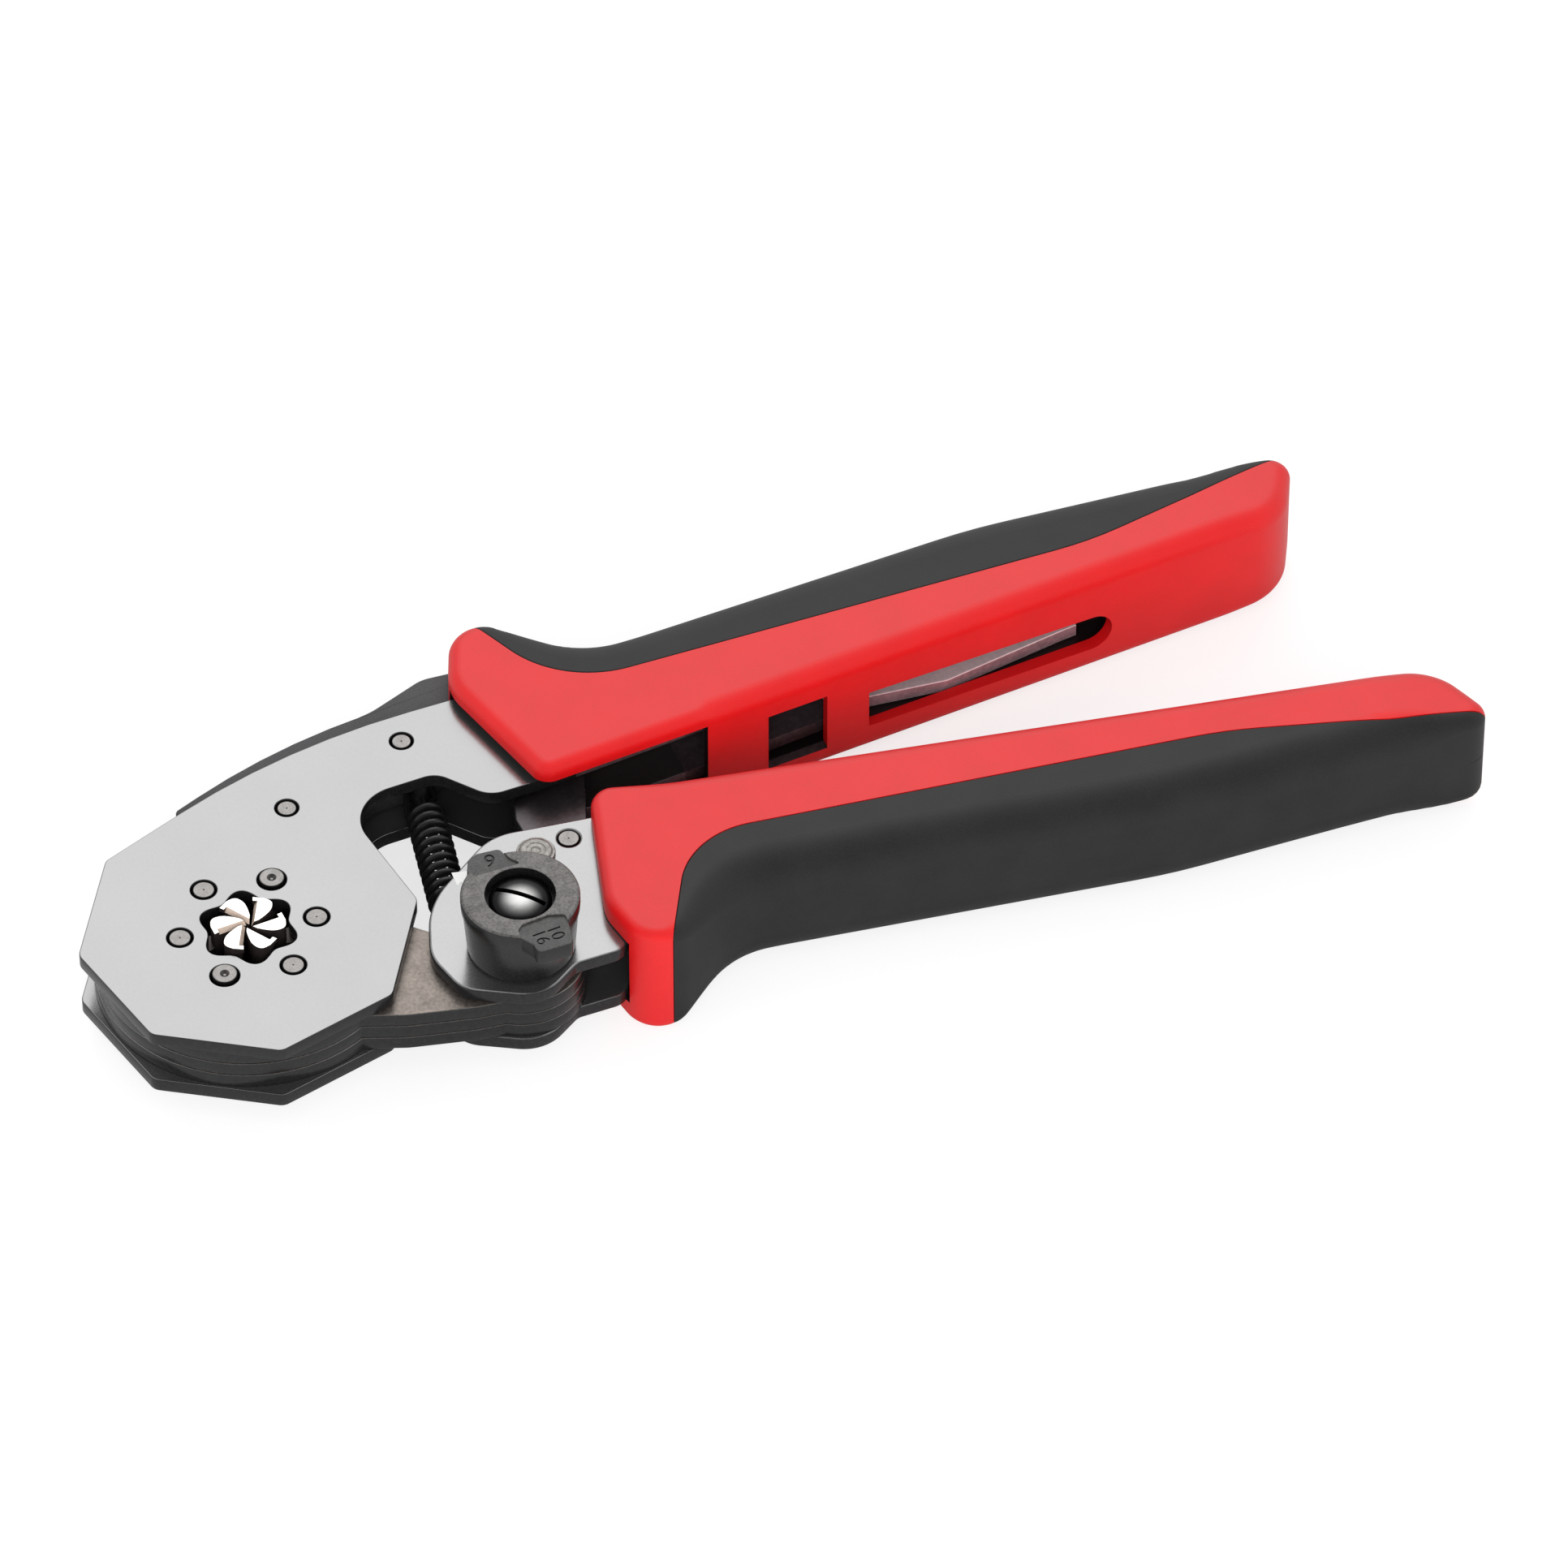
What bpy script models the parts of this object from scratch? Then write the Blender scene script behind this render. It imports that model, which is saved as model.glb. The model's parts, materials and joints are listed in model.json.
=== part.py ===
"""Self-adjusting hexagonal crimping tool, built as separate pieces in the pose it lies in.

The drawing origin is the centre of the crimping head. +X runs along the fixed handle, +Y points
across the tool towards that handle and Z = 0 is the middle of the sheet stack. The finished tool
is set down with the middle of its underside at the world origin. Lengths are in millimetres.
"""
import math

import bmesh
import bpy
from mathutils import Matrix, Vector

MM = 0.001
ARC_STEP = 15.0

# Sheet stack and clearances
SHEET = 2.0
LAYER_GAP = 0.15
FIT_GAP = 0.3
RUN_GAP = 0.3

# Crimping head
HEAD_RADIUS = 22.5
HEAD_TURN = 126.5
HEAD_FILLET = 1.8
PIN_CIRCLE = 9.04
PIN_TURN = 50.6
PIN_RADIUS = 1.45
KEY_PIN_RADIUS = 1.65
KEY_PIN_RISE = 0.4
STAR_MEAN = 5.95
STAR_WAVE = 0.65
SPINE_BAND = 2.7
SPINE_RIVET = 1.3

# Jaws
JAW_OPEN = 2.2
JAW_GAP = 0.15
JAW_LENGTH = 4.75
JAW_WIDTH = 2.75
JAW_RISE = 0.75
JAW_BOSS = 2.8
TAIL_REACH = 4.0
TAIL_RADIUS = 1.2
TAIL_NECK = 0.9

# Rotor and lever pivots
ROTOR_RADIUS = 20.4
ROTOR_BORE = 12.5
ROTOR_RIVET = 1.2
BOSS_RADIUS = 8.4
LEVER_PIVOT = (32.0, -15.85)
LINK_PIVOT = (44.5, -0.2)
THRUST_POINT = (48.5, 18.0)
PAWL_POINT = (39.5, -0.5)
BOLT_RADIUS = 3.5
BOLT_THROW = 0.35
BOLT_HEAD = 5.2
RATCHET_RADIUS = 12.0
RATCHET_DEPTH = 0.7
RATCHET_TEETH = 6
LINK_PIN = 1.2
THRUST_PIN = 2.0
LINK_PLAY = 0.5
LINK_SWING = 31.0
PAWL_PIN = 1.2
EYE_LAND = 0.6
LINK_WAIST = 1.6

# Return spring
SPRING_TOP = (30.7, 18.9)
SPRING_FOOT = (26.8, -4.2)
SPRING_RADIUS = 2.3
SPRING_WIRE = 0.85
SPRING_TURNS = 11.5
SPRING_POST = 1.0
HOOK_LENGTH = 2.9

# Selector knob
KNOB_RADIUS = 7.8
KNOB_TAPER = 0.4
KNOB_HEIGHT = 9.3
KNOB_RECESS = 4.7
TAB_HEIGHT = 2.7

# Handles
HANDLE_HALF = 9.0
COVER_EDGE = 2.4
GRIP_EDGE = 5.0
HUMP_FILLET = 5.2
FRONT_FILLET = 8.5
GRIP_WALL = 3.0
COVER_WALL = 2.0
INNER_WALL = 1.2
LEVER_TURN = -4.1
LEVER_SHIFT = (8.9, 16.1)
HANDLE_LENGTH = 160.2
TIP_SLANT = 5.6
TIP_INNER = 19.6
TIP_OUTER = 30.9
HANDLE_BEND = (114.2, 33.5)
TONGUE_STOP = 17.2
CORE_LENGTH = 122.0
CORE_TOP = 21.2
CORE_PLAY = 0.5

PITCH = SHEET + LAYER_GAP
CORE_HALF = PITCH + SHEET / 2
STACK_HALF = 2 * PITCH + SHEET / 2

FINISHES = {
    "plate": ((0.62, 0.62, 0.63), 1.0, 0.38),
    "black_steel": ((0.03, 0.03, 0.032), 0.6, 0.5),
    "raw_steel": ((0.36, 0.30, 0.24), 1.0, 0.42),
    "bright_steel": ((0.72, 0.71, 0.69), 1.0, 0.25),
    "spring_steel": ((0.04, 0.04, 0.045), 0.8, 0.35),
    "die_cast": ((0.10, 0.10, 0.105), 0.5, 0.5),
    "red_plastic": ((0.72, 0.03, 0.03), 0.0, 0.45),
    "black_rubber": ((0.03, 0.03, 0.03), 0.0, 0.65),
}

for old in list(bpy.data.objects):
    bpy.data.objects.remove(old)

tool = bpy.data.collections.new("crimping_tool")
cutters = bpy.data.collections.new("cutters")
bpy.context.scene.collection.children.link(tool)
bpy.context.scene.collection.children.link(cutters)


def polar(radius, degrees, centre=(0.0, 0.0)):
    angle = math.radians(degrees)
    return (centre[0] + radius * math.cos(angle), centre[1] + radius * math.sin(angle))


def arc(centre, radius, start, end):
    count = max(1, math.ceil(abs(end - start) / ARC_STEP))
    return [polar(radius, start + (end - start) * i / count, centre) for i in range(count + 1)]


def circle(centre, radius, sides=20):
    return [polar(radius, 360.0 * i / sides, centre) for i in range(sides)]


def rounded(corners):
    """Closed outline through corners (x, y) or (x, y, fillet radius)."""
    outline = []
    for i, corner in enumerate(corners):
        here = Vector(corner[:2])
        if len(corner) == 2:
            outline.append(tuple(here))
            continue
        back = (Vector(corners[i - 1][:2]) - here).normalized()
        ahead = (Vector(corners[(i + 1) % len(corners)][:2]) - here).normalized()
        half = back.angle(ahead) / 2
        centre = here + (back + ahead).normalized() * (corner[2] / math.sin(half))
        first = here + back * (corner[2] / math.tan(half)) - centre
        turn = math.degrees(math.pi - 2 * half)
        side = 1.0 if back.cross(ahead) < 0 else -1.0
        start = math.degrees(math.atan2(first.y, first.x))
        outline += arc(tuple(centre), corner[2], start, start + side * turn)
    return outline


def grown(corners, distance):
    """Counter-clockwise corner list moved outwards by a distance, square corners kept square."""
    moved = []
    for i, corner in enumerate(corners):
        here = Vector(corner[:2])
        back = (here - Vector(corners[i - 1][:2])).normalized()
        ahead = (Vector(corners[(i + 1) % len(corners)][:2]) - here).normalized()
        normal = Vector((back.y + ahead.y, -back.x - ahead.x)).normalized()
        here += normal * (distance / normal.dot(Vector((ahead.y, -ahead.x))))
        if len(corner) == 2:
            moved.append((here.x, here.y))
        else:
            bend = 1.0 if back.cross(ahead) > 0 else -1.0
            moved.append((here.x, here.y, max(0.05, corner[2] + bend * distance)))
    return moved


def place(mesh, name, finish, carrier, smooth=40.0):
    """Link a finished mesh to its body with a material of its own."""
    colour, metallic, roughness = FINISHES[finish]
    material = bpy.data.materials.new(name)
    material.use_nodes = True
    shader = material.node_tree.nodes["Principled BSDF"]
    shader.inputs["Base Color"].default_value = (*colour, 1.0)
    shader.inputs["Metallic"].default_value = metallic
    shader.inputs["Roughness"].default_value = roughness
    material.diffuse_color = (*colour, 1.0)
    mesh.materials.clear()
    mesh.materials.append(material)
    mesh.shade_smooth()
    mesh.set_sharp_from_angle(angle=math.radians(smooth))
    piece = bpy.data.objects.new(name, mesh)
    tool.objects.link(piece)
    piece.parent = carrier
    piece.matrix_parent_inverse = Matrix.Translation(-Vector(carrier["drawn_at"]))
    return piece


def as_mesh(source, name):
    """Plain closed mesh of a curve or of an object with modifiers; the source is removed."""
    bpy.context.scene.collection.objects.link(source)
    bpy.context.view_layer.update()
    mesh = bpy.data.meshes.new_from_object(source.evaluated_get(bpy.context.evaluated_depsgraph_get()))
    mesh.name = name
    bpy.data.objects.remove(source)
    shape = bmesh.new()
    shape.from_mesh(mesh)
    bmesh.ops.remove_doubles(shape, verts=shape.verts, dist=1e-7)
    bmesh.ops.recalc_face_normals(shape, faces=shape.faces)
    shape.to_mesh(mesh)
    shape.free()
    return mesh


def slab(name, outlines, low, high, edge=0.0):
    """Sheet between two heights; the first outline is the rim, the others are holes."""
    curve = bpy.data.curves.new(name, "CURVE")
    curve.dimensions = "2D"
    curve.fill_mode = "BOTH"
    curve.extrude = ((high - low) / 2 - edge) * MM
    curve.bevel_depth = edge * MM
    curve.bevel_resolution = 2
    curve.offset = -edge * MM
    for outline in outlines:
        spline = curve.splines.new("POLY")
        spline.points.add(len(outline) - 1)
        for point, (x, y) in zip(spline.points, outline):
            point.co = (x * MM, y * MM, 0.0, 1.0)
        spline.use_cyclic_u = True
    holder = bpy.data.objects.new(name, curve)
    mesh = as_mesh(holder, name)
    mesh.transform(Matrix.Translation((0.0, 0.0, (low + high) / 2 * MM)))
    return mesh


def turned(name, profile, centre, closed=False, steps=28):
    """Solid of revolution about a vertical axis from a profile of (radius, height)."""
    mesh = bpy.data.meshes.new(name)
    points = [(r * MM, 0.0, z * MM) for r, z in profile]
    edges = [(i, i + 1) for i in range(len(points) - 1)]
    if closed:
        edges.append((len(points) - 1, 0))
    mesh.from_pydata(points, edges, [])
    holder = bpy.data.objects.new(name, mesh)
    screw = holder.modifiers.new("turn", "SCREW")
    screw.steps = steps
    screw.render_steps = steps
    screw.use_merge_vertices = True
    screw.merge_threshold = 1e-6
    mesh = as_mesh(holder, name)
    mesh.transform(Matrix.Translation((centre[0] * MM, centre[1] * MM, 0.0)))
    return mesh


def tool_piece(name, mesh, carrier):
    """Hidden wire object that a Boolean of the same body cuts with or joins."""
    piece = bpy.data.objects.new(name, mesh)
    piece.hide_render = True
    piece.display_type = "WIRE"
    cutters.objects.link(piece)
    piece.parent = carrier
    piece.matrix_parent_inverse = Matrix.Translation(-Vector(carrier["drawn_at"]))
    return piece


def combine(piece, operation, name, mesh):
    carrier = piece.parent
    step = piece.modifiers.new(name, "BOOLEAN")
    step.operation = operation
    step.solver = "EXACT"
    step.object = tool_piece(name, mesh, carrier)


def body(name, point, carrier=None):
    """Joint axis empty of a body, remembering where it is drawn."""
    empty = bpy.data.objects.new(name, None)
    empty["drawn_at"] = (point[0] * MM, point[1] * MM, 0.0)
    empty.empty_display_size = 0.01
    tool.objects.link(empty)
    empty.location = empty["drawn_at"]
    if carrier is not None:
        empty.parent = carrier
        empty.matrix_parent_inverse = Matrix.Translation(-Vector(carrier["drawn_at"]))
    return empty


frame = body("frame", (0.0, 0.0))
rotor = body("rotor_axis", (0.0, 0.0), frame)
lever = body("lever_axis", LEVER_PIVOT, rotor)
selector = body("selector_axis", LEVER_PIVOT, lever)
link = body("link_axis", LINK_PIVOT, lever)
pawl = body("pawl_axis", PAWL_POINT, lever)

# Head plates: two equal sheets with the star opening, the round throat and the long tail that is
# the steel core of the fixed handle.
pin_angles = [PIN_TURN + 60.0 * k for k in range(6)]
pins = [polar(PIN_CIRCLE, angle) for angle in pin_angles]
pin_sizes = [KEY_PIN_RADIUS if k % 3 == 0 else PIN_RADIUS for k in range(6)]
rivet_land = ROTOR_RADIUS + RUN_GAP + SPINE_RIVET
spine_rivets = [polar(rivet_land, 57.1), (30.2, 24.5)]
head_corners = [polar(HEAD_RADIUS, HEAD_TURN + 45.0 * k) + (HEAD_FILLET,) for k in range(6)]
head_top = (15.3, 29.0)
tail_rivet_at = (72.5, 17.6)
plate_corners = head_corners + [
    (18.9, 16.6, 6.0), (32.3, 17.2, 3.4), (37.6, 10.8, 4.0), (44.0, 11.0), (68.0, 13.4),
    (86.0, 15.5, 3.0), (93.0, 17.1, 3.0), (103.0, 16.1, 1.0), (CORE_LENGTH, CORE_TOP - 1.9),
    (CORE_LENGTH, CORE_TOP), (86.0, CORE_TOP), (52.0, CORE_TOP, 6.0), (41.5, 29.3, 4.0), head_top + (100.0,)]
star = [polar(STAR_MEAN + STAR_WAVE * math.cos(math.radians(6 * (a - PIN_TURN + 30.0))), a)
        for a in range(0, 360, 6)]
plate_holes = [star]
plate_holes += [circle(p, r + FIT_GAP) for p, r in zip(pins, pin_sizes)]
plate_holes += [circle(p, SPINE_RIVET + FIT_GAP, 16) for p in spine_rivets]
plate_holes.append(circle(THRUST_POINT, LINK_PIN + 0.4 + FIT_GAP, 16))
plate_holes.append(circle(tail_rivet_at, LINK_PIN + FIT_GAP, 16))
for name, side in (("front_plate", 1), ("rear_plate", -1)):
    levels = sorted((side * (STACK_HALF - SHEET), side * STACK_HALF))
    place(slab(name, [rounded(plate_corners)] + plate_holes, *levels), name, "plate", frame)

# Spine: the block between the head plates. Its edge stands proud of them along the top, and its
# hollow side is the bearing the rotor turns in.
bearing = ROTOR_RADIUS + RUN_GAP
spine_outline = arc((0.0, 0.0), bearing, 96.0, 40.0)
spine_outline += rounded([
    (18.4, 15.4, 1.0), (24.5, 20.8, 3.0), (34.0, 21.6, 2.0), (42.5, 25.0, 1.0), (44.2, 30.5, 1.0),
    (42.4, 36.0, 1.5), (37.2, 36.3, 5.0), (28.5, 32.9, 12.0),
    (head_top[0] - 0.6, head_top[1] + SPINE_BAND, 90.0), (-2.6, 24.7, 0.8)])
spine_holes = [circle(p, SPINE_RIVET + FIT_GAP, 16) for p in spine_rivets]
place(slab("spine", [spine_outline] + spine_holes, -CORE_HALF, CORE_HALF), "spine", "black_steel", frame)


def dowel(name, centre, radius, low, high, finish, carrier, waist=None, chamfer=0.15):
    """Pin between two heights; a waist makes its middle, between the outer sheets, thicker."""
    profile = [(0.0, low), (radius - chamfer, low), (radius, low + chamfer)]
    if waist is not None:
        profile += [(radius, -CORE_HALF), (waist, -CORE_HALF), (waist, CORE_HALF), (radius, CORE_HALF)]
    profile += [(radius, high - chamfer), (radius - chamfer, high), (0.0, high)]
    return place(turned(name, profile, centre, steps=20), name, finish, carrier)


# Pins and rivets of the head: six jaw pins (two of them thicker, with a centre mark), two spine
# rivets, the thrust pin, the rivet through the tail and the anchor the spring hangs from.
for k in range(6):
    rise = KEY_PIN_RISE if k % 3 == 0 else 0.0
    dowel(f"jaw_pin_{k + 1}", pins[k], pin_sizes[k], -STACK_HALF, STACK_HALF + rise, "plate", frame)
for k in range(2):
    dowel(f"spine_rivet_{k + 1}", spine_rivets[k], SPINE_RIVET, -STACK_HALF, STACK_HALF, "plate", frame)
dowel("thrust_pin", THRUST_POINT, LINK_PIN + 0.4, -STACK_HALF, STACK_HALF, "plate", frame, THRUST_PIN)
dowel("tail_rivet", tail_rivet_at, LINK_PIN, -STACK_HALF, STACK_HALF, "plate", frame, 2.4)
dowel("spring_anchor", SPRING_TOP, SPRING_POST, -CORE_HALF, CORE_HALF, "bright_steel", frame)

# Rotor: three laminations. The round opening has a notch for each jaw's tail, the arm carries the
# lever pivot; the outer two hold the spring post and the middle one has the ratchet teeth.
notch = TAIL_RADIUS + RUN_GAP - 0.05
notch_reach = PIN_CIRCLE + TAIL_REACH
opening = []
for angle in pin_angles:
    spread = math.degrees(math.asin(notch / ROTOR_BORE))
    opening += arc(polar(notch_reach, angle), notch, angle - 90.0, angle + 90.0)
    opening += arc((0.0, 0.0), ROTOR_BORE, angle + spread, angle + 60.0 - spread)
pivot_hole = circle(LEVER_PIVOT, BOLT_RADIUS + 0.6 + BOLT_THROW + RUN_GAP, 28)
rotor_rivets = [polar((notch_reach + notch + ROTOR_RADIUS) / 2, a) for a in (20.6, 140.6, 260.6)]
rotor_holes = [opening, pivot_hole] + [circle(p, ROTOR_RIVET + FIT_GAP, 14) for p in rotor_rivets]
arm_low = rounded([polar(ROTOR_RADIUS, 296.0), (14.6, -20.4, 10.0), (23.6, -22.4, 12.0),
                   polar(BOSS_RADIUS, 236.0, LEVER_PIVOT)])
disc = arc((0.0, 0.0), ROTOR_RADIUS, -14.0, 296.0)
ear = SPRING_POST + FIT_GAP + 0.8
side_outline = disc + arm_low[1:-1] + arc(LEVER_PIVOT, BOSS_RADIUS, 236.0, 440.0)
side_outline += arc(SPRING_FOOT, ear, 10.0, 215.0) + [(22.3, -7.4)]
tooth_pitch = 18.0 / RATCHET_TEETH
teeth = []
for k in range(RATCHET_TEETH):
    at = 40.0 + k * tooth_pitch
    teeth.append(polar(RATCHET_RADIUS - RATCHET_DEPTH, at, LEVER_PIVOT))
    teeth.append(polar(RATCHET_RADIUS, at + tooth_pitch / 2, LEVER_PIVOT))
teeth.append(polar(RATCHET_RADIUS - RATCHET_DEPTH, 58.0, LEVER_PIVOT))
middle_outline = disc + arm_low[1:-1] + arc(LEVER_PIVOT, BOSS_RADIUS, 236.0, 392.0) + teeth
middle_outline += arc(LEVER_PIVOT, RATCHET_RADIUS - 3.0, 62.0, 110.0) + [(22.6, -8.4)]
ear_hole = circle(SPRING_FOOT, SPRING_POST + FIT_GAP, 14)
for name, k in (("rotor_rear", -1), ("rotor_middle", 0), ("rotor_front", 1)):
    rims = [middle_outline] + rotor_holes if k == 0 else [side_outline] + rotor_holes + [ear_hole]
    mesh = slab(name, rims, k * PITCH - SHEET / 2, k * PITCH + SHEET / 2)
    place(mesh, name, "raw_steel", rotor)
for k in range(3):
    dowel(f"rotor_rivet_{k + 1}", rotor_rivets[k], ROTOR_RIVET, -CORE_HALF, CORE_HALF, "raw_steel", rotor)
dowel("spring_post", SPRING_FOOT, SPRING_POST, -CORE_HALF, CORE_HALF, "bright_steel", rotor)

# Jaws: each is a wedge whose flat closes one side of the hexagon, standing proud of the plates, on
# a thinner shank with the pivot eye and the round-ended tail that sits in the rotor's notch.
for k in range(6):
    name = f"jaw_{k + 1}"
    pin = Vector(pins[k])
    swing = body(f"{name}_axis", pins[k], frame)
    flat = pin_angles[k] + math.degrees(math.asin(2.248 / PIN_CIRCLE)) - JAW_OPEN
    opened = Matrix.Rotation(math.radians(JAW_OPEN), 2)

    def on_jaw(s, w):
        along = Vector(polar(s, flat))
        across = Vector(polar(w, flat - 90.0))
        return tuple(pin + opened @ (along + across - pin))

    apex = JAW_GAP / math.sin(math.radians(60.0))
    shoulder = apex + JAW_WIDTH / math.tan(math.radians(60.0))
    wedge = rounded([on_jaw(apex, 0.0), on_jaw(shoulder, JAW_WIDTH) + (1.4,),
                     on_jaw(JAW_LENGTH - 0.4, JAW_WIDTH) + (1.3,), on_jaw(JAW_LENGTH, 0.0)])
    tall = STACK_HALF + JAW_RISE
    jaw = place(slab(name, [wedge], -tall, tall), name, "bright_steel", swing, 30.0)
    out = pin_angles[k]
    neck = math.degrees(math.asin(TAIL_NECK / JAW_BOSS))
    tip = polar(TAIL_REACH, out, pins[k])
    grip_side = math.degrees(math.asin(TAIL_NECK / TAIL_RADIUS))
    shank = arc(tip, TAIL_RADIUS, out - 180.0 + grip_side, out + 180.0 - grip_side)
    shank += arc(pins[k], JAW_BOSS, out + neck, out + 128.0)
    shank += [on_jaw(JAW_LENGTH - 0.5, 0.35), on_jaw(2.4, 0.35), on_jaw(2.4, JAW_WIDTH - 0.5),
              on_jaw(JAW_LENGTH - 1.0, JAW_WIDTH - 0.35)]
    shank += arc(pins[k], JAW_BOSS, out + 218.0, out + 360.0 - neck)
    eye = circle(pins[k], pin_sizes[k] + RUN_GAP)
    thin = CORE_HALF - LAYER_GAP
    combine(jaw, "UNION", f"{name}_shank", slab(f"{name}_shank", [shank, eye], -thin, thin))

# Lever plates: the two steel sides of the moving handle. They clasp the rotor's arm at the lever
# pivot and run back into the handle.
lever_rivet_at = (72.5, -5.2)
lever_corners = [
    (35.0, 4.0, 8.0), (23.2, -4.6, 14.0), (20.2, -13.5, 7.0), (22.0, -20.6, 5.0), (31.5, -25.7, 6.0),
    (37.6, -21.7, 2.0), (44.0, -21.6, 3.0), (57.0, -7.4, 4.0), (80.0, -8.0, 1.0), (80.0, -3.4, 1.0),
    (49.0, 2.4, 3.0)]
lever_holes = [circle(LEVER_PIVOT, BOLT_RADIUS + RUN_GAP, 28), circle(LINK_PIVOT, LINK_PIN + FIT_GAP, 16),
               circle(PAWL_POINT, PAWL_PIN + FIT_GAP, 16), circle(lever_rivet_at, LINK_PIN + FIT_GAP, 16)]
for name, side in (("lever_front_plate", 1), ("lever_rear_plate", -1)):
    levels = sorted((side * (STACK_HALF - SHEET), side * STACK_HALF))
    place(slab(name, [rounded(lever_corners)] + lever_holes, *levels), name, "plate", lever)
dowel("link_pin", LINK_PIVOT, LINK_PIN, -STACK_HALF, STACK_HALF, "plate", lever, LINK_WAIST)
dowel("lever_rivet", lever_rivet_at, LINK_PIN, -STACK_HALF, STACK_HALF, "plate", lever, 2.4)

# Pawl pin: a plain pin with a stepped, nickel-bright end standing on the front lever plate.
top = STACK_HALF + LAYER_GAP
stud = [(0.0, -STACK_HALF), (PAWL_PIN, -STACK_HALF), (PAWL_PIN, top), (2.4, top), (2.4, top + 0.5),
        (1.8, top + 0.6), (1.7, top + 1.0), (0.7, top + 1.0), (0.6, top + 0.8), (0.0, top + 0.8)]
place(turned("pawl_pin", stud, PAWL_POINT, steps=24), "pawl_pin", "bright_steel", lever)

# Pawl: a small finger on the pawl pin that points at the ratchet teeth and rides over them.
toward = math.degrees(math.atan2(LEVER_PIVOT[1] - PAWL_POINT[1], LEVER_PIVOT[0] - PAWL_POINT[0]))
span = math.dist(LEVER_PIVOT, PAWL_POINT)
nose = span - RATCHET_RADIUS - RUN_GAP
pawl_rim = PAWL_PIN + RUN_GAP + EYE_LAND
finger = arc(PAWL_POINT, pawl_rim, toward + 60.0, toward + 300.0)
nose_tip = polar(nose - 0.4, toward, PAWL_POINT)
finger += arc(nose_tip, 0.4, toward - 80.0, toward + 80.0)
hole = circle(PAWL_POINT, PAWL_PIN + RUN_GAP, 16)
place(slab("pawl", [finger, hole], -SHEET / 2, SHEET / 2), "pawl", "raw_steel", pawl)

# Thrust link: the thick strut between the link pin and the thrust pin. Its upper eye is roomy.
reach = Vector(THRUST_POINT) - Vector(LINK_PIVOT)
lean = math.degrees(math.atan2(reach.y, reach.x))
link_rim = math.dist(LINK_PIVOT, PAWL_POINT) - pawl_rim - RUN_GAP
strut = arc(LINK_PIVOT, link_rim, 140.0, lean + 270.0)
strut += arc(THRUST_POINT, 4.6, lean - 92.0, lean + 80.0)
strut += [(40.6, 10.4), (39.9, 7.6)]
pawl_way = Matrix.Rotation(math.radians(-LINK_SWING), 2) @ (Vector(PAWL_POINT) - Vector(LINK_PIVOT))
strut += arc(tuple(Vector(LINK_PIVOT) + pawl_way), pawl_rim + RUN_GAP, 90.0, -8.0)
strut_holes = [circle(LINK_PIVOT, LINK_WAIST + RUN_GAP, 20), circle(THRUST_POINT, THRUST_PIN + LINK_PLAY, 20)]
thin = CORE_HALF - LAYER_GAP
place(slab("thrust_link", [strut] + strut_holes, -thin, thin), "thrust_link", "plate", link)

# Return spring: a black tension coil with a hook round the anchor and one round the rotor's post.
hang = Vector(SPRING_TOP)
foot = Vector(SPRING_FOOT)
down = (foot - hang).normalized()
side_way = Vector((-down.y, down.x))
coil_start = hang + down * HOOK_LENGTH
coil_length = (foot - hang).length - 2 * HOOK_LENGTH
hook = SPRING_POST + RUN_GAP + SPRING_WIRE / 2
wire = []
for a in range(-60, 181, 24):
    angle = math.radians(a)
    spot = hang + side_way * (hook * math.cos(angle)) - down * (hook * math.sin(angle))
    wire.append((spot.x, spot.y, 0.0))
curl = 10
steps = int(curl * SPRING_TURNS)
for i in range(steps + 1):
    angle = 2 * math.pi * SPRING_TURNS * i / steps + math.pi
    spot = coil_start + down * (coil_length * i / steps) + side_way * (SPRING_RADIUS * math.cos(angle))
    wire.append((spot.x, spot.y, SPRING_RADIUS * math.sin(angle)))
last = 1.0 if wire[-1][0] > (coil_start + down * coil_length).x else -1.0
for a in range(0, 241, 24):
    angle = math.radians(a)
    spot = foot + side_way * (last * hook * math.cos(angle)) + down * (hook * math.sin(angle))
    wire.append((spot.x, spot.y, 0.0))
least = min((Vector(p) - Vector(q)).length for i, p in enumerate(wire) for q in wire[i + 8:]) - SPRING_WIRE
print(f"return_spring least gap between its own turns: {least:.2f} mm")
coil = bpy.data.curves.new("return_spring", "CURVE")
coil.dimensions = "3D"
coil.bevel_depth = SPRING_WIRE / 2 * MM
coil.bevel_resolution = 1
coil.use_fill_caps = True
strand = coil.splines.new("POLY")
strand.points.add(len(wire) - 1)
for point, spot in zip(strand.points, wire):
    point.co = (spot[0] * MM, spot[1] * MM, spot[2] * MM, 1.0)
place(as_mesh(bpy.data.objects.new("return_spring", coil), "return_spring"), "return_spring",
      "spring_steel", frame, 60.0)

# Pivot bolt: the lever's pivot. Its middle is an eccentric in the rotor's arm, so turning the knob
# moves the lever against the rotor and sets the closing force.
bolt_top = STACK_HALF + FIT_GAP + KNOB_HEIGHT - 4.4
bolt_low = -STACK_HALF - LAYER_GAP
screw_hole = 1.5 + RUN_GAP
shaft = [(0.0, bolt_low - 1.3), (BOLT_HEAD - 0.4, bolt_low - 1.3), (BOLT_HEAD, bolt_low - 0.9),
         (BOLT_HEAD, bolt_low), (BOLT_RADIUS, bolt_low), (BOLT_RADIUS, bolt_top), (screw_hole, bolt_top),
         (screw_hole, bolt_top - 3.5), (0.0, bolt_top - 3.5)]
bolt = place(turned("pivot_bolt", shaft, LEVER_PIVOT), "pivot_bolt", "plate", selector)
cam_at = (LEVER_PIVOT[0] - BOLT_THROW, LEVER_PIVOT[1])
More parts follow.
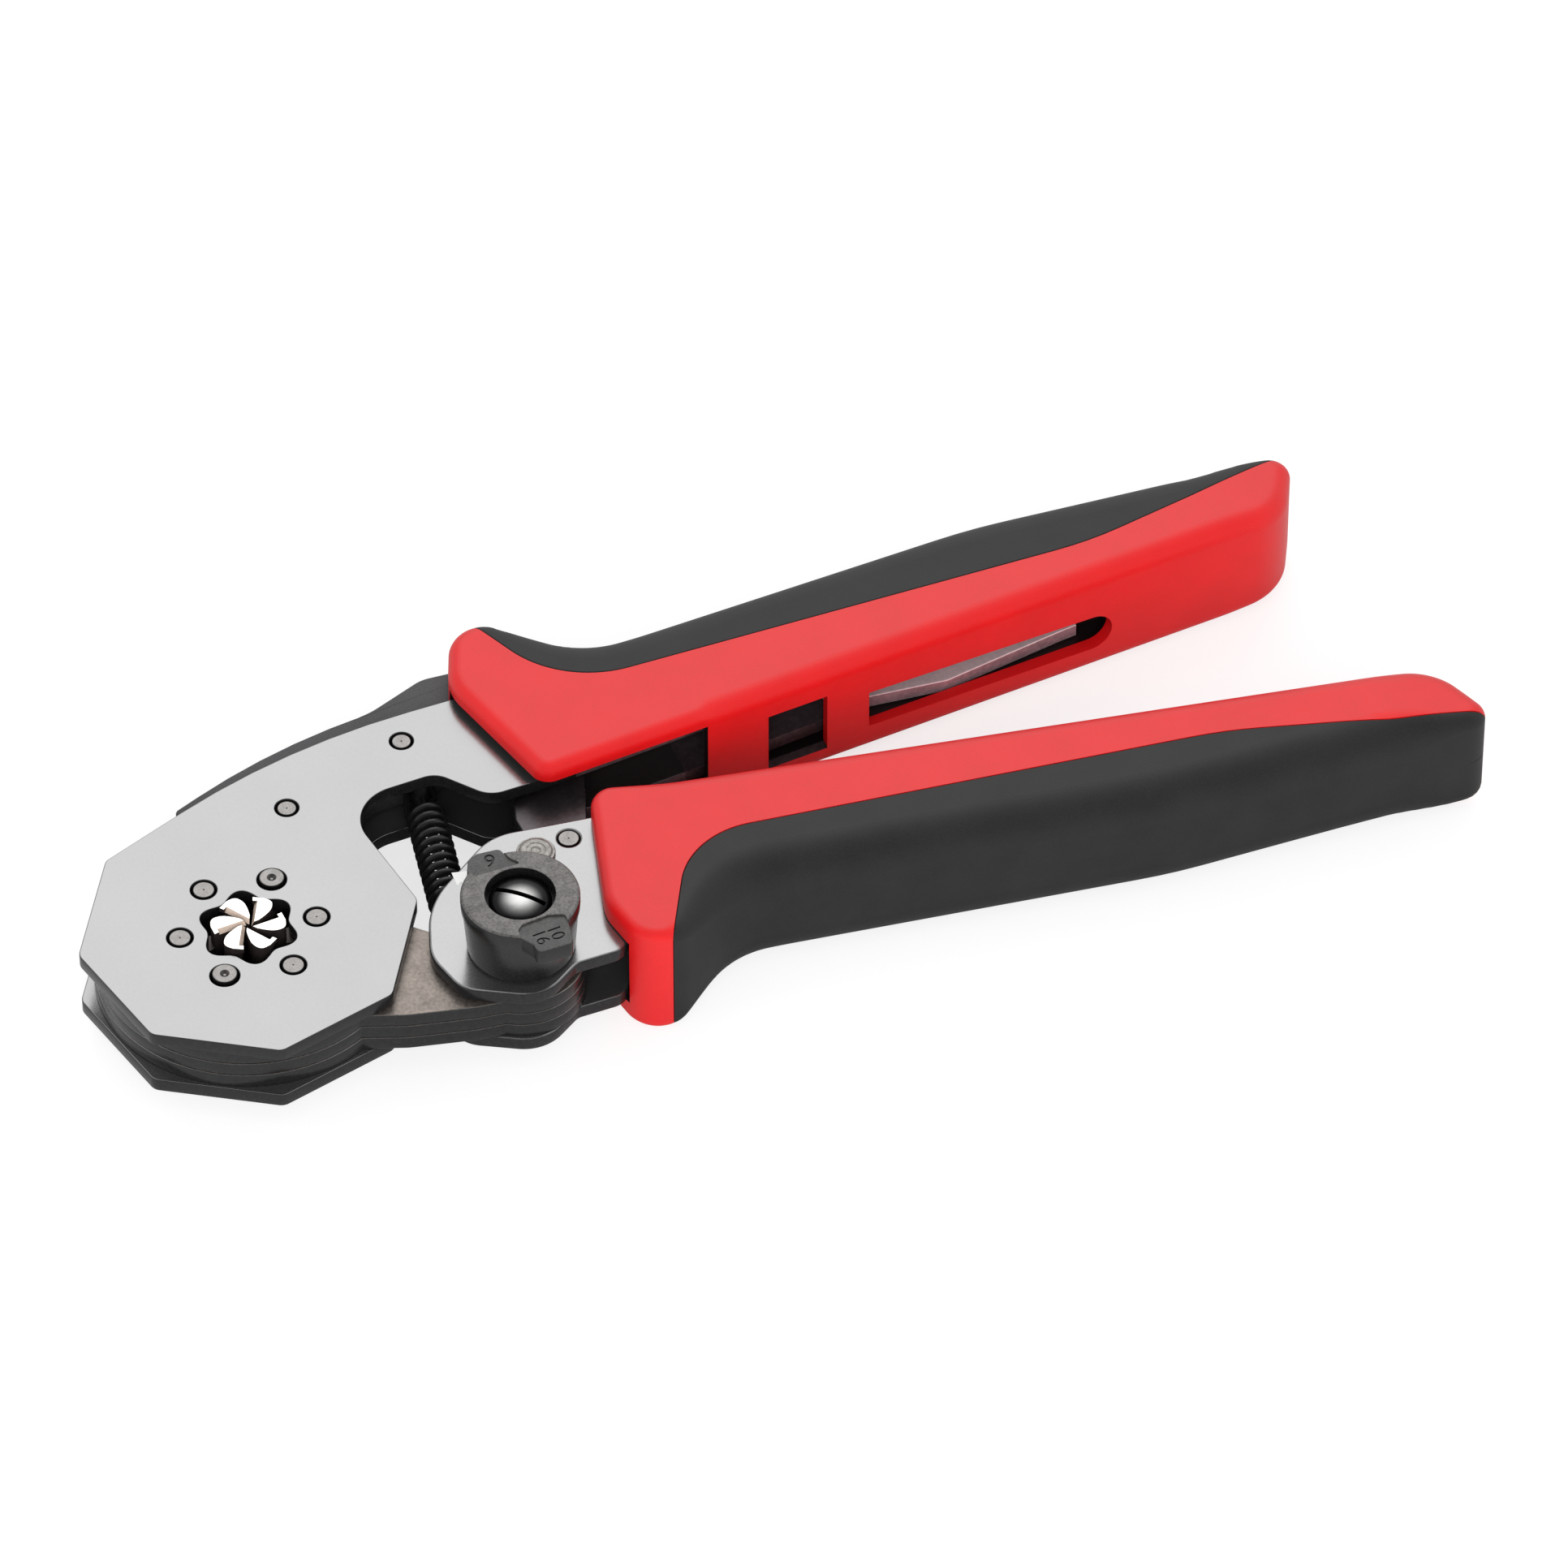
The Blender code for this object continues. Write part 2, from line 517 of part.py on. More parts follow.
cam = slab("pivot_cam", [circle(cam_at, BOLT_RADIUS + 0.6, 28)], -CORE_HALF, CORE_HALF)
combine(bolt, "UNION", "pivot_cam", cam)

# Selector knob: a die-cast cap with a sunken top and two marked tabs that stick out over the plate.
base = STACK_HALF + FIT_GAP
crown = base + KNOB_HEIGHT
floor = crown - 2.2
foot_radius = KNOB_RADIUS - KNOB_TAPER
cap = [(BOLT_RADIUS + FIT_GAP, base), (foot_radius - 0.3, base), (foot_radius, base + 0.4),
       (KNOB_RADIUS, crown - 1.2), (KNOB_RADIUS - 0.1, crown - 0.4), (KNOB_RADIUS - 0.4, crown),
       (KNOB_RECESS + 0.2, crown), (KNOB_RECESS, crown - 0.3), (KNOB_RECESS, floor), (screw_hole, floor),
       (screw_hole, bolt_top + FIT_GAP), (BOLT_RADIUS + FIT_GAP, bolt_top + FIT_GAP)]
knob = place(turned("knob", cap, LEVER_PIVOT, closed=True, steps=36), "knob", "die_cast", selector)
tab_shapes = {
    "tab_small": [(-3.6, 5.4), (-4.5, 7.9, 0.8), (-3.8, 8.7, 0.6), (0.8, 8.8, 0.8), (1.2, 5.6)],
    "tab_large": [(3.9, -5.4), (-1.3, -5.4), (-1.3, -10.6, 0.8), (3.5, -10.5, 0.8)]}
for name, corners in tab_shapes.items():
    grow = KNOB_RADIUS / 7.8
    spots = [(LEVER_PIVOT[0] + grow * c[0], LEVER_PIVOT[1] + grow * c[1]) + tuple(c[2:]) for c in corners]
    combine(knob, "UNION", name, slab(name, [rounded(spots)], crown - TAB_HEIGHT, crown - 0.06))

# Knob screw: a domed, slotted screw that holds the knob on the bolt.
dome = [(0.0, floor - 4.2), (1.5, floor - 4.2), (1.5, floor + 0.15), (KNOB_RECESS - 0.6, floor + 0.15),
        (KNOB_RECESS - 0.6, floor + 0.7), (3.4, floor + 1.35), (1.8, floor + 1.75), (0.0, floor + 1.85)]
screw = place(turned("knob_screw", dome, LEVER_PIVOT), "knob_screw", "bright_steel", selector)
slot_way = Vector(polar(1.0, -43.0))
slot_over = Vector((-slot_way.y, slot_way.x))
slot = [tuple(Vector(LEVER_PIVOT) + slot_way * s + slot_over * w)
        for s, w in ((-6.0, -0.5), (6.0, -0.5), (6.0, 0.5), (-6.0, 0.5))]
combine(screw, "DIFFERENCE", "screw_slot", slab("screw_slot", [slot], floor + 0.9, floor + 3.0))


def handle(prefix, carrier, flip, nose, seam, turn, shift):
    """Red cover with its core tongue, and the soft grip round the tongue, of one handle.

    The nose holds the front corners: inner, lip, hump and the valley behind the hump. The seam is the
    line from the hump to the tip where the grip takes over from the cover.
    """
    place_at = Matrix.Translation((shift[0] * MM, shift[1] * MM, 0.0))
    place_at = place_at @ Matrix.Rotation(math.radians(turn), 4, "Z")
    inner, lip, hump, valley = nose

    def block(name, corners, half, edge=0.0):
        drawn = [(c[0], flip * c[1]) + tuple(c[2:]) for c in corners][::flip]
        mesh = slab(name, [rounded(drawn)], -half, half, edge)
        mesh.transform(place_at)
        return mesh

    def shell(edge):
        return [inner + (max(2.6, edge + 0.2),), (HANDLE_LENGTH - TIP_SLANT, TIP_INNER, 8.0),
                (HANDLE_LENGTH, TIP_OUTER, edge + 0.2), HANDLE_BEND + (80.0,),
                valley + (14.0,), hump + (HUMP_FILLET,), lip + (FRONT_FILLET,)]

    outside = [(seam[-1][0], 60.0)]
    tongue_half = HANDLE_HALF - GRIP_WALL
    tongue_end = HANDLE_LENGTH - TONGUE_STOP
    tongue = [(hump[0] + 1.4, 18.5), (tongue_end - 2.0, TIP_INNER + 0.9), (tongue_end, 31.8 - GRIP_WALL, 1.5),
              (HANDLE_BEND[0], HANDLE_BEND[1] - GRIP_WALL, 70.0),
              (valley[0], valley[1] - 0.3 - GRIP_WALL, 10.0),
              (valley[0] - 7.6, valley[1] + 5.7 - GRIP_WALL, 1.5), (hump[0] + 1.4, 33.0)]
    over = HANDLE_HALF + 5.0
    cover = place(block(f"{prefix}_cover", shell(COVER_EDGE), HANDLE_HALF, COVER_EDGE), f"{prefix}_cover",
                  "red_plastic", carrier)
    combine(cover, "DIFFERENCE", f"{prefix}_seam", block(f"{prefix}_seam", seam + outside, over))
    combine(cover, "UNION", f"{prefix}_tongue", block(f"{prefix}_tongue", tongue, tongue_half))
    grip = place(block(f"{prefix}_grip", shell(GRIP_EDGE), HANDLE_HALF, GRIP_EDGE), f"{prefix}_grip",
                 "black_rubber", carrier)
    side = block(f"{prefix}_grip_side", grown(seam + outside, -FIT_GAP), over)
    combine(grip, "INTERSECT", f"{prefix}_grip_side", side)
    socket = block(f"{prefix}_socket", grown(tongue, FIT_GAP), tongue_half + FIT_GAP)
    combine(grip, "DIFFERENCE", f"{prefix}_socket", socket)
    return cover


def inner_face(x):
    return 11.9 + 0.1 * (x - 77.0)


# Fixed handle: the cover's mouth and notch show the plates going in; a window and a slot on the
# inner face show the steel core again.
fixed_nose = [(44.2, 8.8), (38.5, 29.2), (43.2, 41.3), (58.5, 30.2)]
seam_end = HANDLE_LENGTH + 7.8
fixed_seam = [(34.9, 60.0), (52.3, 22.9, 9.0), (seam_end - 34.5, 22.7, 60.0), (seam_end, 30.3)]
fixed_cover = handle("fixed", frame, 1, fixed_nose, fixed_seam, 0.0, (0.0, 0.0))
roof = CORE_TOP + CORE_PLAY
mouth = [(30.0, 2.0), (68.2, 2.0), (68.2, roof), (53.0, roof), (45.6, 28.8), (42.0, 30.0), (30.0, 30.0)]
mouth_half = HANDLE_HALF - COVER_WALL
combine(fixed_cover, "DIFFERENCE", "fixed_mouth", slab("fixed_mouth", [mouth], -mouth_half, mouth_half))
seat_end = CORE_LENGTH + 4 * CORE_PLAY
seat = [(60.0, inner_face(60.0) + INNER_WALL), (seat_end, inner_face(seat_end) + INNER_WALL),
        (seat_end, roof), (60.0, roof + 0.05)]
seat_half = STACK_HALF + FIT_GAP
combine(fixed_cover, "DIFFERENCE", "fixed_seat", slab("fixed_seat", [seat], -seat_half, seat_half))
spine_seat = [(30.0, 29.0), (45.2, 28.5), (45.2, 31.0), (43.0, 36.6), (36.0, 37.6), (30.0, 37.6)]
spine_half = CORE_HALF + FIT_GAP
combine(fixed_cover, "DIFFERENCE", "spine_seat", slab("spine_seat", [spine_seat], -spine_half, spine_half))
window = rounded([(77.0, 5.0), (85.8, 5.0), (85.8, 15.0), (77.0, 15.0)])
combine(fixed_cover, "DIFFERENCE", "window", slab("window", [window], -4.8, 4.8))
slot_box = [(91.8, 8.0), (126.0, 8.0), (126.0, 18.6), (91.8, 18.6)]
combine(fixed_cover, "DIFFERENCE", "slot", slab("slot", [slot_box], -2.3, 2.3))

# Moving handle: the same shell mirrored and turned, with a mouth that fits the lever plates and a
# notch in its inner corner for the thrust link.
moving_nose = [(40.9, 8.8), (37.0, 29.0), (40.4, 41.2), (55.2, 30.2)]
moving_seam = [(34.1, 60.0), (50.8, 21.1, 12.0), (seam_end - 44.0, 23.9, 60.0),
               (seam_end - 22.0, 28.3, 20.0), (seam_end, 30.4)]
moving_cover = handle("moving", lever, -1, moving_nose, moving_seam, LEVER_TURN, LEVER_SHIFT)
lever_seat = [(30.0, -22.0), (44.2, -22.0), (57.3, -7.85), (80.5, -8.5), (80.5, -2.9), (48.9, 2.9),
              (30.0, 2.9)]
combine(moving_cover, "DIFFERENCE", "lever_seat", slab("lever_seat", [lever_seat], -seat_half, seat_half))
link_notch = [(38.0, -4.0), (52.4, -4.0), (53.6, 8.0), (38.0, 8.0)]
combine(moving_cover, "DIFFERENCE", "link_notch", slab("link_notch", [link_notch], -spine_half, spine_half))

# Set the tool down on the floor with the middle of its underside at the world origin.
bpy.context.view_layer.update()
graph = bpy.context.evaluated_depsgraph_get()
corners = []
for piece in tool.objects:
    if piece.type == "MESH":
        solid = piece.evaluated_get(graph)
        corners += [solid.matrix_world @ Vector(c) for c in solid.bound_box]
low = Vector([min(c[i] for c in corners) for i in range(3)])
high = Vector([max(c[i] for c in corners) for i in range(3)])
frame.location = (-(low.x + high.x) / 2, -(low.y + high.y) / 2, -low.z)
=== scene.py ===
import json
import math

import bmesh
import bpy
from mathutils import Matrix, Vector


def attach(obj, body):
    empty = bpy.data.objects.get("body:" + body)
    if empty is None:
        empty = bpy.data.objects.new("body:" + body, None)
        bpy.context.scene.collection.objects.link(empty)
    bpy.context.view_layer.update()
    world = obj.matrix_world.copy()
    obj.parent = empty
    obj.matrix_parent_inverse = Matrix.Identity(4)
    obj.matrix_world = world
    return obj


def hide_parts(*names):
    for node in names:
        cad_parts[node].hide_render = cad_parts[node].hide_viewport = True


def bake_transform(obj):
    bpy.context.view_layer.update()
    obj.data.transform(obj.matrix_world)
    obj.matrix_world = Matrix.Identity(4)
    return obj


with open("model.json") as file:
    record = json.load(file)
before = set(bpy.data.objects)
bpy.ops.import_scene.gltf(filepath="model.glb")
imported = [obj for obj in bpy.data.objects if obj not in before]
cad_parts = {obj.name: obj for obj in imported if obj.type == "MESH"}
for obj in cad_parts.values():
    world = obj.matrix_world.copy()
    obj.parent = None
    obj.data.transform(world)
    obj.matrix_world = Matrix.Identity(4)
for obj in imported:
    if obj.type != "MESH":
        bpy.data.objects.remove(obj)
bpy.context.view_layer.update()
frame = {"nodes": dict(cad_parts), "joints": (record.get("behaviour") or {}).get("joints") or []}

# Head plates: two equal sheets of steel, blanked with the star opening and the round throat, ground
# satin on their faces and left black on their cut edges. Their tails are the core of the fixed handle,
# and they are coloured with painted light: a painted reflection of the red cover on the edges in the
# mouth, painted shade where the cover hides them, and in the slot a painted reflection with a painted
# highlight and a painted shade line along the arris.
MM = 0.001
head = Vector(next(j for j in frame["joints"] if j["name"] == "rotor_turn")["pos_m"])
SHEET = 2.0
PITCH = 2.15
CORE_HALF = PITCH + SHEET / 2
STACK_HALF = 2 * PITCH + SHEET / 2
GAP = 0.3
EDGE_BREAK = 0.14
HEAD_RADIUS = 22.5
HEAD_TURN = 126.5
STAR_RADIUS = 5.95
STAR_WAVE = 0.65
PIN_CIRCLE = 9.04
PIN_TURN = 50.6
PIN_RADIUS = 1.45
KEY_PIN_RADIUS = 1.65
SMALL_PIN = 1.2
THRUST_PIN = SMALL_PIN + 0.4
SPINE_RIVET = 1.3
ROTOR_RADIUS = 20.4
THRUST_POINT = (48.5, 18.0)
TAIL_RIVET = (72.5, 17.6)
TAIL_START = 50.0
TAIL_COVERED = 66.0
TAIL_BARE = 88.0
LEVEL = 0.9999
WELD = 2e-7
GRAIN_DEPTH = 0.00004


def polar(radius, degrees, centre=(0.0, 0.0)):
    angle = math.radians(degrees)
    return (centre[0] + radius * math.cos(angle), centre[1] + radius * math.sin(angle))


def arc(centre, radius, start, end, step=4.0):
    count = max(1, math.ceil(abs(end - start) / step))
    return [polar(radius, start + (end - start) * i / count, centre) for i in range(count + 1)]


def circle(centre, radius, sides=48):
    return [polar(radius, 360.0 * i / sides, centre) for i in range(sides)]


def rounded(corners, step=4.0):
    """Closed outline through corners (x, y) or (x, y, fillet radius)."""
    outline = []
    for i, corner in enumerate(corners):
        here = Vector(corner[:2])
        if len(corner) == 2:
            outline.append(tuple(here))
            continue
        back = (Vector(corners[i - 1][:2]) - here).normalized()
        ahead = (Vector(corners[(i + 1) % len(corners)][:2]) - here).normalized()
        half = back.angle(ahead) / 2
        centre = here + (back + ahead).normalized() * (corner[2] / math.sin(half))
        first = here + back * (corner[2] / math.tan(half)) - centre
        turn = math.degrees(math.pi - 2 * half)
        side = 1.0 if back.cross(ahead) < 0 else -1.0
        start = math.degrees(math.atan2(first.y, first.x))
        outline += arc(tuple(centre), corner[2], start, start + side * turn, step)
    return outline


def on_tool(x, y, z=0.0):
    """Place of a point that is drawn in millimetres from the middle of the head."""
    return head + Vector((x * MM, y * MM, z * MM))


def at_head(mesh):
    """Move a mesh that is drawn about the middle of the head to its place."""
    mesh.transform(Matrix.Translation(head))
    return mesh


def add(name, data):
    """New object in the scene, at the origin."""
    thing = bpy.data.objects.new(name, data)
    bpy.context.scene.collection.objects.link(thing)
    return thing


def evaluated(thing):
    """New mesh of an object with its modifiers."""
    bpy.context.view_layer.update()
    return bpy.data.meshes.new_from_object(thing.evaluated_get(bpy.context.evaluated_depsgraph_get()))


def settled(shape, mesh):
    """Write a worked shape into a mesh, its faces turned outwards."""
    bmesh.ops.recalc_face_normals(shape, faces=shape.faces)
    shape.to_mesh(mesh)
    shape.free()
    return mesh


def plain(source):
    """Closed plain mesh of an object with its modifiers; the object is removed."""
    mesh = evaluated(source)
    mesh.name = source.name
    bpy.data.objects.remove(source)
    shape = bmesh.new()
    shape.from_mesh(mesh)
    bmesh.ops.remove_doubles(shape, verts=shape.verts, dist=WELD)
    return settled(shape, mesh)


def smooth(mesh, angle=35.0):
    """Smooth shading up to an angle; level faces stay flat where a rounded edge meets them."""
    mesh.shade_smooth()
    mesh.set_sharp_from_angle(angle=math.radians(angle))
    shape = bmesh.new()
    shape.from_mesh(mesh)
    for edge in shape.edges:
        if len({abs(face.normal.z) > LEVEL for face in edge.link_faces}) == 2:
            edge.smooth = False
    shape.to_mesh(mesh)
    shape.free()
    return mesh


def sheet(name, outlines, low, high, edge=0.0, rings=2):
    """Sheet between two heights, its edges rounded; the first outline is the rim, the others holes."""
    curve = bpy.data.curves.new(name, "CURVE")
    curve.dimensions = "2D"
    curve.fill_mode = "BOTH"
    curve.extrude = ((high - low) / 2 - edge) * MM
    curve.bevel_depth = edge * MM
    curve.bevel_resolution = rings
    curve.offset = -edge * MM
    for outline in outlines:
        spline = curve.splines.new("POLY")
        spline.points.add(len(outline) - 1)
        for point, (x, y) in zip(spline.points, outline):
            point.co = (x * MM, y * MM, 0.0, 1.0)
        spline.use_cyclic_u = True
    mesh = plain(add(name, curve))
    mesh.transform(Matrix.Translation(on_tool(0.0, 0.0, (low + high) / 2)))
    return smooth(mesh)


def by_slope(mesh, level=0.95, brow=2.0):
    """First finish on the level faces, second on the upright edges, third on an edge's sloping brow."""
    for face in mesh.polygons:
        slope = abs(face.normal.z)
        face.material_index = 0 if slope > level else 2 if slope > brow else 1
    return mesh


def add_node(tree, kind, values=None, **settings):
    """New shader node with its settings, and with constants on its sockets."""
    node = tree.nodes.new("ShaderNode" + kind)
    for setting, value in settings.items():
        setattr(node, setting, value)
    for socket, value in (values or {}).items():
        node.inputs[socket].default_value = value
    return node


def link(start, output, end, entry):
    """Join two nodes of one tree."""
    start.id_data.links.new(start.outputs[output], end.inputs[entry])


def new_finish(name, values):
    """New material with constants on its shader, together with its tree and that shader."""
    finish = bpy.data.materials.new(name)
    finish.use_nodes = True
    shader = finish.node_tree.nodes["Principled BSDF"]
    for socket, value in values.items():
        shader.inputs[socket].default_value = value
    return finish, finish.node_tree, shader


def grained(name, colour, spread, metallic, roughness, grain, bump,
            gloss_spread=0.06, specular=0.5, patch=30.0):
    """Finish whose colour, gloss and surface waver with a fine grain over broad, faint clouds."""
    finish, tree, shader = new_finish(name, {"Metallic": metallic, "Specular IOR Level": specular})
    where = add_node(tree, "TexCoord")
    fine = add_node(tree, "TexNoise", {"Scale": grain, "Detail": 3.0})
    cloud = add_node(tree, "TexNoise", {"Scale": grain / patch, "Detail": 2.0})
    both = add_node(tree, "Mix", {0: 0.4})
    contrast = add_node(tree, "MapRange", {"From Min": 0.32, "From Max": 0.68})
    dark, light = [(*[c * share for c in colour], 1.0) for share in (1.0 - spread, 1.0 + spread)]
    tint = add_node(tree, "Mix", {6: dark, 7: light}, data_type="RGBA")
    glossy, dull = roughness - gloss_spread, roughness + gloss_spread
    gloss = add_node(tree, "MapRange", {"To Min": glossy, "To Max": dull})
    relief = add_node(tree, "Bump", {"Strength": bump, "Distance": GRAIN_DEPTH})
    link(where, "Object", fine, "Vector")
    link(where, "Object", cloud, "Vector")
    link(fine, "Fac", both, 2)
    link(cloud, "Fac", both, 3)
    link(both, 0, contrast, "Value")
    link(contrast, "Result", tint, 0)
    link(tint, 2, shader, "Base Color")
    link(fine, "Fac", gloss, "Value")
    link(gloss, "Result", shader, "Roughness")
    link(fine, "Fac", relief, "Height")
    link(relief, "Normal", shader, "Normal")
    return finish


def split_along(mesh, stations, start):
    """Cut the faces of a mesh across, at stations along X from a start."""
    shape = bmesh.new()
    shape.from_mesh(mesh)
    for station in stations:
        parts = list(shape.verts) + list(shape.edges) + list(shape.faces)
        spot = (start + station * MM, 0.0, 0.0)
        bmesh.ops.bisect_plane(shape, geom=parts, plane_co=spot, plane_no=(1.0, 0.0, 0.0))
    shape.to_mesh(mesh)
    shape.free()
    return mesh


def dress(name, mesh, finishes, body, nodes):
    """Set a finished mesh on its body, in place of the nodes it stands for."""
    places = [face.material_index for face in mesh.polygons]
    mesh.materials.clear()
    for finish in finishes:
        mesh.materials.append(finish)
    mesh.polygons.foreach_set("material_index", places)
    piece = add(name, mesh)
    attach(piece, body)
    if nodes:
        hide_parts(*nodes)
    return piece


satin = grained("ground_satin_steel", (0.285, 0.285, 0.287), 0.035, 0.9, 0.22, 2600.0, 0.05)
black_edge = grained("black_cut_edge", (0.016, 0.016, 0.017), 0.3, 0.3, 0.26, 1800.0, 0.2)
# Painted reflection: the tail's edges inside the mouth are tinted dark mauve, as if the red cover were
# reflected in them.
painted_reflection_edge = grained("dark_mauve_edge", (0.13, 0.108, 0.118), 0.35, 0.5, 0.35, 1500.0, 0.25)
# Painted reflection and painted light: the tail face seen through the slot is a light mauve, standing
# for the red cover reflected in it and for light entering through the slot.
painted_reflection_tail = grained("bright_mauve_tail", (0.72, 0.60, 0.625), 0.12, 0.15, 0.35, 1500.0, 0.2)
# Painted shade: the tail under the cover and the window's sill are coloured near black.
painted_shade_core = grained("dim_mauve_core", (0.060, 0.047, 0.053), 0.4, 0.2, 0.4, 1500.0, 0.25)
# Painted reflection: the tail's upright edge in the slot is tinted ruddy, as if the red cover were
# reflected in it.
painted_reflection_tail_edge = grained("ruddy_tail_edge", (0.42, 0.27, 0.30), 0.3, 0.15, 0.35, 1500.0, 0.25)
# Painted highlight: a light line along the tail's rounded arris in the slot.
painted_highlight_arris = grained("bright_tail_arris", (0.95, 0.86, 0.88), 0.1, 0.2, 0.3, 1500.0, 0.1)
# Painted shade: a dark line beside the painted highlight, where the arris meets the level face.
painted_shade_arris = grained("dark_tail_arris", (0.03, 0.024, 0.027), 0.2, 0.3, 0.4, 1500.0, 0.1)
pin_angles = [PIN_TURN + 60.0 * k for k in range(6)]
pins = [polar(PIN_CIRCLE, angle) for angle in pin_angles]
pin_sizes = [KEY_PIN_RADIUS if k % 3 == 0 else PIN_RADIUS for k in range(6)]
spine_rivets = [polar(ROTOR_RADIUS + GAP + SPINE_RIVET, 57.1), (30.2, 24.5)]
head_top = (15.3, 29.0)
head_corners = [polar(HEAD_RADIUS, HEAD_TURN + 45.0 * k) + (1.8,) for k in range(6)]
plate_corners = head_corners + [
    (18.9, 16.6, 6.0), (32.3, 17.2, 3.4), (37.6, 10.8, 4.0), (44.0, 11.0), (68.0, 13.4),
    (86.0, 15.5, 3.0), (93.5, 17.45, 3.0), (104.8, 16.45, 0.5), (122.0, 19.4), (124.8, 19.8),
    (124.8, 21.2), (86.0, 21.2), (52.0, 21.2, 6.0), (41.5, 29.3, 4.0), head_top + (100.0,)]
star = [polar(STAR_RADIUS + STAR_WAVE * math.cos(math.radians(6 * (a - PIN_TURN + 30.0))), a)
        for a in range(0, 360, 3)]
plate_holes = [star] + [circle(p, r + GAP) for p, r in zip(pins, pin_sizes)]
plate_holes += [circle(p, SPINE_RIVET + GAP) for p in spine_rivets]
plate_holes += [circle(THRUST_POINT, THRUST_PIN + GAP), circle(TAIL_RIVET, SMALL_PIN + GAP)]
plate_finishes = [satin, black_edge, painted_reflection_edge, painted_reflection_tail, painted_reflection_tail_edge, painted_highlight_arris, painted_shade_arris,
                  painted_shade_core]
# Painted light of the tail in the slot, chosen by the slope of each face.
tail_by_slope = ((0.95, painted_reflection_tail), (0.8, painted_shade_arris), (0.2, painted_highlight_arris), (-1.0, painted_reflection_tail_edge))
outer_sides = (("front", STACK_HALF - SHEET), ("rear", -STACK_HALF))
for side, low in outer_sides:
    name = "head_sheet_" + side
    mesh = sheet(name, [rounded(plate_corners)] + plate_holes, low, low + SHEET, EDGE_BREAK)
    mesh = by_slope(split_along(mesh, (TAIL_START, TAIL_COVERED, TAIL_BARE), head.x))
    for face in mesh.polygons:
        along_tail = (face.center.x - head.x) / MM
        finish = plate_finishes[face.material_index]
        # Past the bare station, the tail is coloured by slope with painted reflection, painted
        # highlight and painted shade.
        if along_tail > TAIL_BARE:
            finish = next(f for least, f in tail_by_slope if abs(face.normal.z) > least)
        # Under the cover, the tail takes the painted shade.
        elif along_tail > TAIL_COVERED:
            finish = painted_shade_core
        # Edges inside the mouth take the painted reflection of the red cover.
        elif along_tail > TAIL_START and finish == black_edge:
            finish = painted_reflection_edge
        face.material_index = plate_finishes.index(finish)
    dress(name, mesh, plate_finishes, "frame", [side + "_plate"])

# Spine: a sintered block riveted between the head plates. Its grainy edge stands proud of them along
# the top, and its hollow side is the bearing that the rotor turns in.
SPINE_BAND = 2.7
grainy_black = grained("blackened_sinter", (0.045, 0.045, 0.048), 0.35, 0.3, 0.5, 3200.0, 0.5)
spine_outline = arc((0.0, 0.0), ROTOR_RADIUS + GAP, 96.0, 40.0)
spine_outline += rounded([
    (18.4, 15.4, 1.0), (24.5, 20.8, 3.0), (34.0, 21.6, 2.0), (42.5, 25.0, 1.0), (44.2, 30.5, 1.0),
    (42.4, 36.0, 1.5), (37.2, 36.3, 5.0), (28.5, 32.9, 12.0),
    (head_top[0] - 0.6, head_top[1] + SPINE_BAND, 90.0), (-2.6, 24.7, 0.8)])
spine_holes = [circle(p, SPINE_RIVET + GAP) for p in spine_rivets]
dress("spine_block", sheet("spine_block", [spine_outline] + spine_holes, -CORE_HALF, CORE_HALF, 0.3),
      [grainy_black], "frame", ["spine"])

# Pins and rivets: turned steel pins pressed through the stack, ground flush, each in a black ring.
# The two key pins stand a little proud and carry a drilled centre.
tone_of = {"face": 0.0, "dot": 0.75, "ring": 1.0}


def turned(name, profile, centre=(0.0, 0.0), steps=64, closed=False):
    """Solid of revolution about a vertical axis; profile rows are (radius, height, tone)."""
    shape = bmesh.new()
    tone = shape.verts.layers.float.new("tone")
    rows = []
    for row in profile:
        spots = [(0.0, 0.0)] if row[0] < 1e-6 else circle((0.0, 0.0), row[0], steps)
        rows.append([])
        for x, y in spots:
            corner = shape.verts.new(((centre[0] + x) * MM, (centre[1] + y) * MM, row[1] * MM))
            corner[tone] = tone_of[row[2]] if len(row) > 2 else 0.0
            rows[-1].append(corner)
    for lower, upper in zip(rows, rows[1:] + (rows[:1] if closed else [])):
        for k in range(steps):
            corners = ((lower, k), (lower, k + 1), (upper, k + 1), (upper, k))
            ring = list(dict.fromkeys(row[j % len(row)] for row, j in corners))
            if len(ring) > 2:
                shape.faces.new(ring)
    return smooth(settled(shape, bpy.data.meshes.new(name)))


def node_tree(name, inputs, steps, joins):
    """Geometry node tree with named inputs; at its end, copies are made real and get their finish."""
    tree = bpy.data.node_groups.new(name, "GeometryNodeTree")
    for label, kind in {"Geometry": "Geometry", **inputs, "Finish": "Material"}.items():
        tree.interface.new_socket(label, in_out="INPUT", socket_type="NodeSocket" + kind)
    tree.interface.new_socket("Geometry", in_out="OUTPUT", socket_type="NodeSocketGeometry")
    made = {"source": tree.nodes.new("NodeGroupInput"), "sink": tree.nodes.new("NodeGroupOutput")}
    for label, kind in {**steps, "real": "RealizeInstances", "paint": "SetMaterial"}.items():
        made[label] = tree.nodes.new("GeometryNode" + kind)
        made[label].name = label
    ending = [("real", "Geometry", "paint", "Geometry"), ("source", "Finish", "paint", "Material"),
              ("paint", "Geometry", "sink", "Geometry")]
    for start, output, end, entry in joins + ending:
        link(made[start], output, made[end], entry)
    return tree


